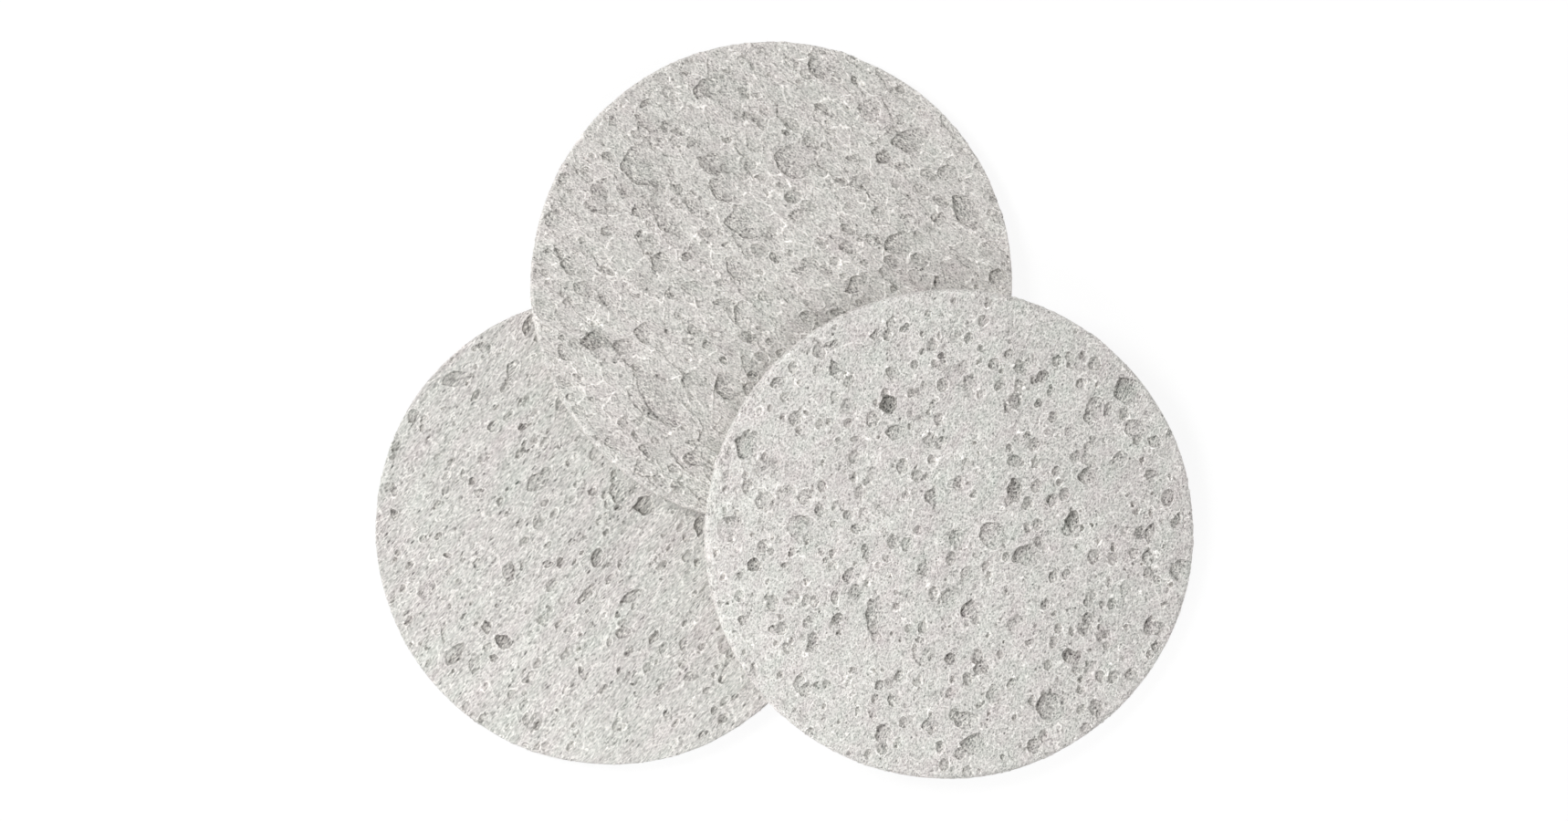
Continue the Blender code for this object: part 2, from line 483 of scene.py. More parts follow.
def group_tree(
    name: str, kind: str, inputs: dict[str, str], outputs: dict[str, str]
) -> tuple[bpy.types.NodeTree, Wiring, Outputs, Outputs]:
    """Start a node group with named sockets.

    Args:
        name: The group's name.
        kind: "GeometryNodeTree" or "ShaderNodeTree".
        inputs: Socket type for each input name.
        outputs: Socket type for each output name.

    Returns:
        The tree, its wiring, its inputs to read and its outputs to feed.
    """
    tree = bpy.data.node_groups.new(name, kind)
    for way, sockets in (("INPUT", inputs), ("OUTPUT", outputs)):
        for label, socket_type in sockets.items():
            tree.interface.new_socket(label, in_out=way, socket_type=socket_type)
    w = Wiring(tree)
    return tree, w, w.node("NodeGroupInput").outputs, w.node("NodeGroupOutput").inputs


def bubbles_group() -> bpy.types.NodeTree:
    """Build the group that cuts a surface through a crowd of bubbles.

    A bubble is a ball in stretched space. The depth is how far a ray straight down into the
    surface runs before it leaves the bubble.

    Returns:
        The node group.
    """
    shade_end, lip_start, lip_end = (0.1, 0.3), (-0.1, 0.05), (0.05, 0.28)
    palest = 0.2
    inputs = {"Position": VECTOR, "Normal": VECTOR, **dict.fromkeys(labels(Bubbles), FLOAT)}
    outputs = dict.fromkeys(("Depth", "Edge", "Shade", "Away"), FLOAT)
    tree, w, size, result = group_tree("bubbles", "GeometryNodeTree", inputs, outputs)
    place, scale = w.cell_place(size, size["Flatten"], (17.3, 7.7, 3.1))
    ray = w.vector("MULTIPLY", w.turned_back(size["Normal"], size["Turn"]), scale)
    cells = w.cells(place)
    chance = w.chances(cells)
    exists = w.math("LESS_THAN", chance[1], size["Chance"])
    span = w.minus(size["Largest"], size["Smallest"])
    radius = w.plus(size["Smallest"], w.times(span, chance[0]))
    radius = w.over(w.times(radius, exists), size["Cell"])
    from_middle = w.vector("SUBTRACT", place, cells["Position"])
    along = w.vector("DOT_PRODUCT", from_middle, ray)
    ray_square = w.vector("DOT_PRODUCT", ray, ray)
    off_square = w.vector("DOT_PRODUCT", from_middle, from_middle)
    within = w.minus(w.times(radius, radius), off_square)
    reach = w.plus(w.times(along, along), w.times(ray_square, within))
    root = w.math("SQRT", w.largest(reach, 0.0))
    depth = w.over(w.plus(along, root), ray_square)
    depth = w.times(depth, w.math("GREATER_THAN", within, 0.0))
    off = w.times(w.minus(w.math("SQRT", off_square), radius), size["Cell"])
    # Painted shade on each pore's floor, darker or paler at random, fading out just past its rim.
    close = w.times(w.rest(w.fade(off, *shade_end)), exists)
    dark = w.times(size["Shade"], w.plus(w.times(chance[2], 1.0 - palest), palest))
    near = w.rest(w.fade(off, *lip_end))
    values = {
        "Depth": w.least(w.largest(depth, 0.0), size["Deepest"]),
        "Shade": w.times(close, dark),
        "Away": w.plus(off, w.times(w.rest(exists), FAR_OFF)),
        "Edge": w.times(near, w.times(w.fade(off, *lip_start), exists)),
    }
    w.feed(result, values)
    return tree


def folds_group(kind: str) -> bpy.types.NodeTree:
    """Build the group for cells pressed over one another, with a step and a thin ridge between.

    The mesh is too coarse for the thinnest ridges, so they are broader there than in the colour.

    Args:
        kind: "GeometryNodeTree" or "ShaderNodeTree".

    Returns:
        The node group.
    """
    broad = 2.2 if kind == "GeometryNodeTree" else 1.0
    waver, waver_size = 0.20, 0.13
    crease_width, crease_size = 0.018, 0.8
    low_side, corner_width, floor_shade = (0.55, 0.8), 2.5, 0.35
    inputs = {"Position": VECTOR, **dict.fromkeys(labels(Folds), FLOAT)}
    outputs = dict.fromkeys(("Depth", "Edge", "Shade"), FLOAT)
    tree, w, size, result = group_tree("folds", kind, inputs, outputs)
    place, _ = w.cell_place(size, 1.0, (5.9, 31.3, 11.7))
    cells = w.cells(place, space="2D")
    border = w.cells(place, "DISTANCE_TO_EDGE", "2D")["Distance"]
    border = w.plus(border, w.times(w.wave(place, waver_size), waver))
    chance = w.chances(cells)
    deep_way = w.math("RADIANS", w.minus(size["Deep Side"], size["Turn"]))
    way = w.combine(w.math("COSINE", deep_way), w.math("SINE", deep_way), 0.0)
    from_middle = w.vector("SUBTRACT", place, cells["Position"])
    slope = w.math("ADD", 0.5, w.vector("DOT_PRODUCT", from_middle, way), clamp=True)
    lowered = w.times(slope, chance[0])
    low = w.times(w.fade(slope, *low_side), chance[0])
    # The ridge mask raises the ridges, and in the colour it draws painted highlights on them.
    edge = w.rest(w.fade(border, 0.0, w.times(size["Ridge Width"], broad)))
    crease = w.thread(place, crease_size, 3.0, crease_width * broad)
    edge = w.largest(w.times(edge, w.rest(low)), w.times(crease, size["Wrinkles"]))
    # Painted shade: a dark line along the low side of each step, and darker lowered floors.
    near = w.rest(w.fade(border, 0.0, w.times(size["Ridge Width"], corner_width)))
    shade = w.plus(w.times(near, low), w.times(lowered, floor_shade))
    depth = w.plus(w.times(size["Step"], lowered), w.times(size["Ridge"], w.rest(edge)))
    w.feed(result, {"Depth": depth, "Edge": edge, "Shade": w.times(shade, size["Shade"])})
    return tree


def crumb_group() -> bpy.types.NodeTree:
    """Build the group for the dense field of the tiniest pores.

    Returns:
        The node group.
    """
    wall_start = (0.1, 0.65)
    inputs = {"Position": VECTOR, **dict.fromkeys(labels(Crumb), FLOAT)}
    tree, w, size, result = group_tree("crumb", "GeometryNodeTree", inputs, {"Depth": FLOAT})
    place, _ = w.cell_place(size, 1.0, (3.7, 13.1, 23.9))
    cells = w.cells(place)
    dent = w.rest(w.fade(cells["Distance"], *wall_start))
    # The dent also serves as painted shade in the tiniest pores.
    w.feed(result, {"Depth": w.times(dent, w.chances(cells)[0], size["Depth"])})
    return tree


class SurfaceTree:
    """The geometry node tree that turns a smooth disc into a sponge."""

    layers = {part.name.title(): part.type for part in fields(Texture)}
    placed_clear: Pair = (0.0, 0.12)
    small_share: float = 0.8

    def __init__(self) -> None:
        """Build the tree and the groups it uses."""
        inputs = {"Geometry": GEOMETRY, "Material": "NodeSocketMaterial"}
        for layer, form in self.layers.items():
            inputs.update({f"{layer} {label}": FLOAT for label in labels(form)})
        self.tree, self.w, self.given, result = group_tree(
            "sponge_surface", "GeometryNodeTree", inputs, {"Geometry": GEOMETRY}
        )
        bubbles = bubbles_group()
        self.groups = {"Large": bubbles, "Medium": bubbles, "Small": bubbles}
        self.groups.update({"Folds": folds_group("GeometryNodeTree"), "Crumb": crumb_group()})
        w, given = self.w, self.given
        self.position = w.scaled(w.node("GeometryNodeInputPosition").outputs[0], 1.0 / MM)
        self.normal = w.node("GeometryNodeInputNormal").outputs[0]
        self.warped = w.shift(self.position, given["Grain Warp Size"], 4.0, given["Grain Warp"])
        self.drifted = w.shift(self.position, given["Grain Drift Size"], 1.0, given["Grain Drift"])
        depth, kept = self.relief()
        geometry = given["Geometry"]
        for name, value in kept.items():
            geometry = self.stored(geometry, name, value)
        offset = w.scaled(self.normal, w.times(depth, -MM))
        geometry = w.outputs_of("GeometryNodeSetPosition", {"Geometry": geometry, "Offset": offset})[0]
        geometry = w.outputs_of("GeometryNodeRealizeInstances", {"Geometry": geometry})[0]
        values = {"Geometry": geometry, "Material": given["Material"]}
        w.feed(result, {"Geometry": w.outputs_of("GeometryNodeSetMaterial", values)[0]})

    def attribute(self, name: str) -> Socket:
        """Read one of the mesh's own values by name."""
        kind = "GeometryNodeInputNamedAttribute"
        return self.w.outputs_of(kind, {"Name": name}, data_type="FLOAT")["Attribute"]

    def stored(self, geometry: Socket, name: str, value: Socket) -> Socket:
        """Keep a value on the mesh's points.

        Args:
            geometry: The mesh.
            name: The attribute's name.
            value: The value to keep.

        Returns:
            The mesh that carries the value.
        """
        settings = {"data_type": "FLOAT_VECTOR" if value.type == "VECTOR" else "FLOAT", "domain": "POINT"}
        values = {"Name": name, "Geometry": geometry, "Value": value}
        return self.w.outputs_of("GeometryNodeStoreNamedAttribute", values, **settings)["Geometry"]

    def layer(self, name: str, place: Socket) -> Outputs:
        """Add one layer of relief with the tree's own sizes for it.

        Args:
            name: The layer's name.
            place: Where it is read, in millimetres.

        Returns:
            Its outputs.
        """
        form = self.layers[name]
        values = {label: self.given[f"{name} {label}"] for label in labels(form)}
        values["Position"] = place
        if form is Bubbles:
            values["Normal"] = self.normal
        return self.w.outputs_of("GeometryNodeGroup", values, node_tree=self.groups[name])

    def relief(self) -> tuple[Socket, dict[str, Socket]]:
        """Add up the layers.

        Returns:
            How far each point sinks in millimetres, and the values that the material reads: the
            painted shade of pores and of hollows, how strong the lip and its painted highlight are, the
            way from the nearest pore's rim, and the place for the folds' ridges.
        """
        w, given = self.w, self.given
        bare = self.attribute("bare")
        large = self.layer("Large", self.warped)
        medium = self.layer("Medium", self.warped)
        small = self.layer("Small", self.warped)
        folds = self.layer("Folds", self.drifted)
        crumb = self.layer("Crumb", self.position)
        placed = self.attribute("placed_depth")
        lively = w.rest(w.times(self.attribute("rim_share"), given["Grain Rim Calm"]))
        clear = w.rest(w.fade(placed, *self.placed_clear))
        holes = w.times(w.largest(w.times(large["Depth"], bare), medium["Depth"]), clear)
        holes = w.largest(w.times(holes, lively), placed)
        level = given["Folds Ridge"]
        laid = w.times(w.minus(folds["Depth"], level), clear)
        swell = w.times(w.noise(self.position, given["Grain Swell Size"], 1.0), given["Grain Swell"])
        skin = w.plus(laid, level, w.times(small["Depth"], self.small_share), swell)
        grain = w.times(w.noise(self.position, given["Grain Grain Size"], 4.0), given["Grain Grain"])
        skin = w.plus(w.times(skin, lively), grain, crumb["Depth"])
        edge = w.largest(w.times(large["Edge"], bare), medium["Edge"], self.attribute("placed_edge"))
        depth = w.plus(holes, skin, w.times(w.rest(edge), given["Grain Lip"]))
        # Painted shade on the pores' floors, kept for the material.
        pit = w.times(w.largest(w.times(large["Shade"], bare), medium["Shade"]), clear)
        away = w.plus(w.least(large["Away"], medium["Away"]), w.times(w.rest(clear), FAR_OFF))
        kept = {
            "pit": w.largest(pit, self.attribute("placed_shade"), small["Shade"]),
            # Painted shade in the tiniest pores and in the folds' creases and lowered floors.
            "hollow": w.plus(crumb["Depth"], w.times(folds["Shade"], clear)),
            "edge": edge,
            "away": w.least(away, self.attribute("placed_away"), small["Away"]),
            "drifted": self.drifted,
        }
        return w.least(depth, given["Grain Deepest"]), kept

    def press(self, piece: bpy.types.Object, texture: Texture, material: bpy.types.Material) -> None:
        """Give a smooth disc its pores, as a plain mesh.

        Args:
            piece: The disc.
            texture: The sizes of its surface.
            material: What it is made of.
        """
        modifier = piece.modifiers.new("sponge_surface", "NODES")
        modifier.node_group = self.tree
        values = {"Material": material, **texture.values()}
        for item in self.tree.interface.items_tree:
            if item.in_out == "INPUT" and item.name in values:
                modifier[item.identifier] = values[item.name]
        graph = bpy.context.evaluated_depsgraph_get()
        pressed = bpy.data.meshes.new_from_object(
            piece.evaluated_get(graph), preserve_all_data_layers=True, depsgraph=graph
        )
        piece.modifiers.remove(modifier)
        piece.data = pressed


def cellulose_group(weave: Weave) -> bpy.types.NodeTree:
    """Build the shader group for the finest structure of a cell wall.

    Args:
        weave: The structure's sizes.

    Returns:
        The node group, with a speckle mask whose tiniest holes carry painted shade, tiny dark dots of
        painted shade in the holes, tints from green to pink, a mottle and a height.
    """
    outputs = dict.fromkeys(("Speckle", "Dots", "Tint", "Mottle", "Height"), FLOAT)
    inputs = {"Vector": VECTOR, **dict.fromkeys(("Grain Size", "Stretch", "Turn", "Thread"), FLOAT)}
    tree, w, given, result = group_tree("cellulose_grain", "ShaderNodeTree", inputs, outputs)
    place = w.turned_back(w.scaled(given["Vector"], 1.0 / MM), given["Turn"])
    place = w.vector("MULTIPLY", place, w.combine(w.over(1.0, given["Stretch"]), 1.0, 1.0))
    size = given["Grain Size"]
    grain = w.fade(w.noise(place, size, 3.0), *weave.grain_fade)
    # Painted shade in the middles of the tiniest holes, which also dent the height.
    holes = w.fade(w.cells(w.scaled(place, w.over(1.0, size)))["Distance"], *weave.hole_fade)
    threads = w.thread(place, w.times(size, weave.thread_in_grains), 3.0, weave.thread_width)
    patches = w.fade(w.noise(place, weave.patch, 1.0), *weave.patch_fade)
    long_threads = w.thread(place, weave.long_thread, 2.0, weave.long_thread_width)
    long_threads = w.times(long_threads, patches, given["Thread"])
    threads = w.plus(w.times(threads, weave.thread_share), long_threads)
    # Tiny dark dots: painted shade in the holes, which also dent the height.
    spots = w.cells(w.scaled(place, 1.0 / weave.dot_spacing))
    chance = w.chances(spots)
    reach = w.plus(w.times(chance[0], weave.dot_spread), weave.dot_least)
    dots = w.rest(w.fade(spots["Distance"], w.times(reach, weave.dot_core), reach))
    dots = w.times(dots, w.fade(chance[1], *weave.dot_chance))
    high = w.plus(w.times(grain, weave.grain_height), w.times(holes, weave.hole_height), threads)
    values = {
        "Speckle": w.plus(w.times(grain, weave.grain_share), w.times(holes, weave.hole_share), threads),
        "Dots": dots,
        "Tint": w.wave(place, weave.tint, 4.0),
        "Mottle": w.wave(place, weave.mottle),
        "Height": w.minus(high, w.times(dots, weave.dot_height)),
    }
    w.feed(result, values)
    return tree


class Cellulose:
    """Makes the discs' materials from two shared groups."""

    drawing: Drawing = Drawing()

    def __init__(self) -> None:
        """Build the groups."""
        self.grain = cellulose_group(Weave())
        self.folds = folds_group("ShaderNodeTree")

    def attribute(self, w: Wiring, name: str, output: str = "Fac") -> Socket:
        """Read one of the mesh's values by name, as a value or as a vector."""
        return w.node("ShaderNodeAttribute", attribute_name=name).outputs[output]

    def colour_levels(self, w: Wiring, place: Socket, folds: Folds, ridges: float) -> tuple[Socket, Socket]:
        """Work out where the material gets painted shade and where it gets painted highlights.

        Args:
            w: The material's wiring.
            place: The place on the disc that the folds are read at.
            folds: The sizes of the folds, whose ridges are drawn here.
            ridges: How strong the painted highlight on the ridges is.

        Returns:
            The share of the painted shade's colour, and the mask of the painted highlights on lips and
            ridges.
        """
        draw = self.drawing
        away = self.attribute(w, "away")
        away = w.plus(away, w.times(w.wave(place, draw.ragged_size), draw.ragged))
        # Painted shade inside the pores, with the painted shade of the hollows and creases added to it.
        inside = w.rest(w.fade(away, *draw.inside))
        dark = w.times(self.attribute(w, "pit"), inside)
        dark = w.math("ADD", dark, self.attribute(w, "hollow"), clamp=True)
        # Painted highlight along the pores' lips, broken up here and there.
        lip = w.times(w.fade(away, *draw.lip_start), w.rest(w.fade(away, *draw.lip_end)))
        lip = w.times(lip, w.fade(self.attribute(w, "edge"), *draw.lip_edge))
        broken = w.fade(w.noise(place, draw.break_size), *draw.break_fade)
        lip = w.times(lip, w.plus(w.times(broken, draw.break_share), draw.least_lip))
        # Painted highlight on the folds' ridges.
        values = {"Position": place, **sizes_of(folds)}
        ridge = w.outputs_of("ShaderNodeGroup", values, node_tree=self.folds)["Edge"]
        ridge = w.times(ridge, w.fade(away, *draw.ridge_start), ridges)
        return dark, w.largest(lip, ridge)

    def material(self, finish: Finish, folds: Folds) -> bpy.types.Material:
        """Make one disc's material.

        Args:
            finish: Its colours and strengths.
            folds: The sizes of its folds.

        Returns:
            The material.
        """
        draw = self.drawing
        material = bpy.data.materials.new(finish.name)
        material.use_nodes = True
        w = Wiring(material.node_tree)
        values = {
            "Vector": w.node("ShaderNodeTexCoord").outputs["Object"],
            "Grain Size": finish.grain,
            "Stretch": finish.stretch,
            "Turn": finish.turn,
            "Thread": finish.thread,
        }
        fine = w.outputs_of("ShaderNodeGroup", values, node_tree=self.grain)
        place = self.attribute(w, "drifted", "Vector")
        dark, light = self.colour_levels(w, place, folds, finish.ridges)
        # Mix towards the colour of the painted shade wherever it lies.
        base = w.scaled(w.vector("SUBTRACT", finish.pit, finish.crest), dark)
        base = w.vector("ADD", finish.crest, base)
        contrast = w.plus(w.times(dark, draw.dark_contrast), 1.0)
        speckle = w.times(w.minus(fine["Speckle"], draw.speckle_middle), contrast)
        speckle = w.times(speckle, draw.speckle_strength * finish.speckle)
        # Painted highlights on the lips and ridges.
        level = w.plus(1.0, speckle, w.times(light, finish.edge))
        # Painted shade in the tiniest holes.
        level = w.minus(level, w.times(fine["Dots"], finish.dots))
        # Painted light falloff: each disc is painted darker towards fall_way.
        way = math.radians(finish.fall_way)
        slope = (-finish.fall * math.cos(way), -finish.fall * math.sin(way), 0.0)
        # Painted light along the rim.
        rim = w.times(self.attribute(w, "rim_share"), finish.rim_light)
        mottle = w.times(fine["Mottle"], finish.mottle)
        level = w.plus(level, mottle, w.vector("DOT_PRODUCT", place, slope), rim)
        pink = w.times(fine["Tint"], finish.tint)
        shade = w.combine(w.plus(level, pink), w.minus(level, pink), level)
        height = w.plus(fine["Height"], w.times(light, draw.light_height))
        bump = {"Strength": finish.bump, "Distance": draw.bump_height * MM, "Height": height}
        values = {
            "Base Color": w.vector("MULTIPLY", base, shade),
            "Roughness": finish.roughness,
            "Specular IOR Level": draw.specular,
            "Normal": w.outputs_of("ShaderNodeBump", bump)["Normal"],
        }
        w.feed(material.node_tree.nodes["Principled BSDF"].inputs, values)
        return material


def add_object(name: str, data: bpy.types.ID) -> bpy.types.Object:
    """Add an object to the scene.

    Args:
        name: Its name.
        data: Its mesh, lamp or camera.

    Returns:
        The object.
    """
    made = bpy.data.objects.new(name, data)
    bpy.context.collection.objects.link(made)
    return made


@dataclass(frozen=True)
class Lamp:
    """A square lamp over the pile, in millimetres and degrees, and how brightly it lights a face."""

    name: str
    side: float
    distance: float
    azimuth: float
    height: float
    level: float


@dataclass
class Studio:
    """The camera straight above, the white floor and the soft light from the left."""

    image_width: float = 1718.0
    image_height: float = 900.0
    pixels_per_mm: float = 7.016
    distance: float = 1500.0
    sensor: float = 36.0
    clip_end: float = 10.0
    key: Lamp = Lamp("key_lamp", 330.0, 900.0, 154.0, 44.0, 0.44)
    fill: Lamp = Lamp("fill_lamp", 160.0, 300.0, 246.0, 46.0, 0.20)
    rim: Lamp = Lamp("rim_lamp", 300.0, 700.0, 10.0, 15.0, 0.08)
    sky_level: float = 0.34
    floor_side: float = 4000.0
    floor_colour: tuple[float, float, float, float] = (0.85, 0.85, 0.85, 1.0)
    floor_shadow: float = 0.15
    floor_glow: float = 1.05

    def on_plane(self, x: float, y: float, point: Vector, normal: Vector) -> Vector:
        """Find what a pixel of the photograph shows on a plane.

        Args:
            x: The pixel's column.
            y: The pixel's row.
            point: A point of the plane, in metres.
            normal: The plane's normal.

        Returns:
            The point on the plane, in metres.
        """
        focus = self.pixels_per_mm * self.distance
        eye = Vector((0.0, 0.0, self.distance * MM))
        ray = Vector((x - self.image_width / 2.0, self.image_height / 2.0 - y, -focus))
        return eye + ray * ((point - eye).dot(normal) / ray.dot(normal))

    def add_camera(self) -> None:
        """Hang the camera over the middle of the pile."""
        data = bpy.data.cameras.new("camera")
        data.sensor_width = self.sensor
        data.sensor_fit = "HORIZONTAL"
        data.lens = self.sensor * self.distance * self.pixels_per_mm / self.image_width
        data.clip_end = self.clip_end
        camera = add_object("camera", data)
        camera.location = (0.0, 0.0, self.distance * MM)
        bpy.context.scene.camera = camera

    def add_lamp(self, lamp: Lamp) -> None:
        """Hang a lamp, turned to the middle of the pile.

        Args:
            lamp: The lamp.
        """
        azimuth = math.radians(lamp.azimuth)
        height = math.radians(lamp.height)
        level = math.cos(height)
        way = Vector((level * math.cos(azimuth), level * math.sin(azimuth), math.sin(height)))
        data = bpy.data.lights.new(lamp.name, "AREA")
        data.size = lamp.side * MM
        facing = math.pi * lamp.level / math.sin(height)
        data.energy = facing * math.pi * (lamp.distance * MM) ** 2
        hung = add_object(lamp.name, data)
        hung.location = way * lamp.distance * MM
        hung.rotation_mode = "QUATERNION"
        hung.rotation_quaternion = way.to_track_quat("Z", "Y")

    def seen_directly(self, w: Wiring) -> Socket:
        """Mask the rays that show the background itself, to the camera or in a gloss.

        Args:
            w: The wiring of the material or world.

        Returns:
            1 for such rays and 0 for the rest.
        """
        path = w.node("ShaderNodeLightPath").outputs
        mirrored = w.largest(path["Is Glossy Ray"], path["Is Transmission Ray"])
        return w.largest(path["Is Camera Ray"], mirrored)

    def light_world(self) -> None:
        """Fill the shadows from all sides, and show white behind everything."""
        world = bpy.data.worlds.new("studio")
        world.use_nodes = True
        bpy.context.scene.world = world
        w = Wiring(world.node_tree)
        strength = w.plus(w.times(self.seen_directly(w), 1.0 - self.sky_level), self.sky_level)
        w.feed(world.node_tree.nodes["Background"].inputs, {"Color": WHITE, "Strength": strength})

    def add_floor(self) -> None:
        """Lay the white floor, on which only a faint shadow is seen."""
        half = self.floor_side / 2.0 * MM
        mesh = bpy.data.meshes.new("floor")
        corners = [(-half, -half, 0.0), (half, -half, 0.0), (half, half, 0.0), (-half, half, 0.0)]
        mesh.from_pydata(corners, [], [(0, 1, 2, 3)])
        floor = add_object("floor", mesh)
        material = bpy.data.materials.new("white_floor")
        material.use_nodes = True
        nodes = material.node_tree.nodes
        w = Wiring(material.node_tree)
        shader = nodes["Principled BSDF"]
        matt = {"Base Color": self.floor_colour, "Roughness": 1.0, "Specular IOR Level": 0.0}
        w.feed(shader.inputs, matt)
        glow = w.outputs_of("ShaderNodeEmission", {"Color": WHITE, "Strength": self.floor_glow})
        seen = w.times(self.seen_directly(w), 1.0 - self.floor_shadow)
        blend = w.outputs_of("ShaderNodeMixShader", {0: seen, 1: shader.outputs[0], 2: glow[0]})
        w.feed(nodes["Material Output"].inputs, {"Surface": blend[0]})
        mesh.materials.append(material)

    def build(self) -> None:
        """Set up the whole studio."""
        bpy.context.scene.view_settings.view_transform = "Standard"
        self.add_camera()
        for lamp in (self.key, self.fill, self.rim):
            self.add_lamp(lamp)
        self.light_world()
        self.add_floor()


def stitch(first: int, first_count: int, second: int, second_count: int) -> np.ndarray:
    """Join two rings of points that start at the same angle.

    Args:
        first: Index of the first ring's first point.
        first_count: Points in the first ring.
        second: Index of the second ring's first point.
        second_count: Points in the second ring.

    Returns:
        Triangles as rows of three point indices.
    """
    steps = np.arange(first_count)
    met = -(-((2 * steps + 1) * second_count - first_count) // (2 * first_count)) % second_count
    forward = np.stack([first + steps, second + met, first + (steps + 1) % first_count], axis=1)
    steps = np.arange(second_count)
    met = ((2 * steps + 1) * first_count + second_count) // (2 * second_count) % first_count
    back = np.stack([second + steps, second + (steps + 1) % second_count, first + met], axis=1)
    if first_count == 1:
        return back
    if second_count == 1:
        return forward
    return np.concatenate([forward, back])


def smooth(value: np.ndarray, start: float, end: float) -> np.ndarray:
    """Rise smoothly from 0 at start to 1 at end, for each value."""
    share = np.clip((value - start) / (end - start), 0.0, 1.0)
    return share * share * (3.0 - 2.0 * share)


def hump(value: np.ndarray, middle: float, width: float) -> np.ndarray:
    """Rise to 1 at a middle and fall off to both sides, for each value."""
    return np.exp(-(((value - middle) / width) ** 2))


@dataclass(frozen=True)
class Carving:
    """How each listed pore is carved, in millimetres and in shares of its half width.

    Each of the waves holds their number round the outline and their height. A side holds the two
    values between which a fade rises, and a place the middle and the width of a hump.
    """

    waves: tuple[Pair, ...] = ((2.0, 0.06), (3.0, 0.05), (5.0, 0.04))
    taper: float = 1.2
    # Where the painted shadow in the deep side's corner lies, and where the painted light on the floor
    # begins.
    corner_side: Pair = (0.0, 0.8)
    corner_place: Pair = (-0.2, 0.25)
    light_side: Pair = (-0.6, 0.9)
    shade_end: Pair = (0.1, 0.3)
    lip_place: Pair = (0.08, 0.13)


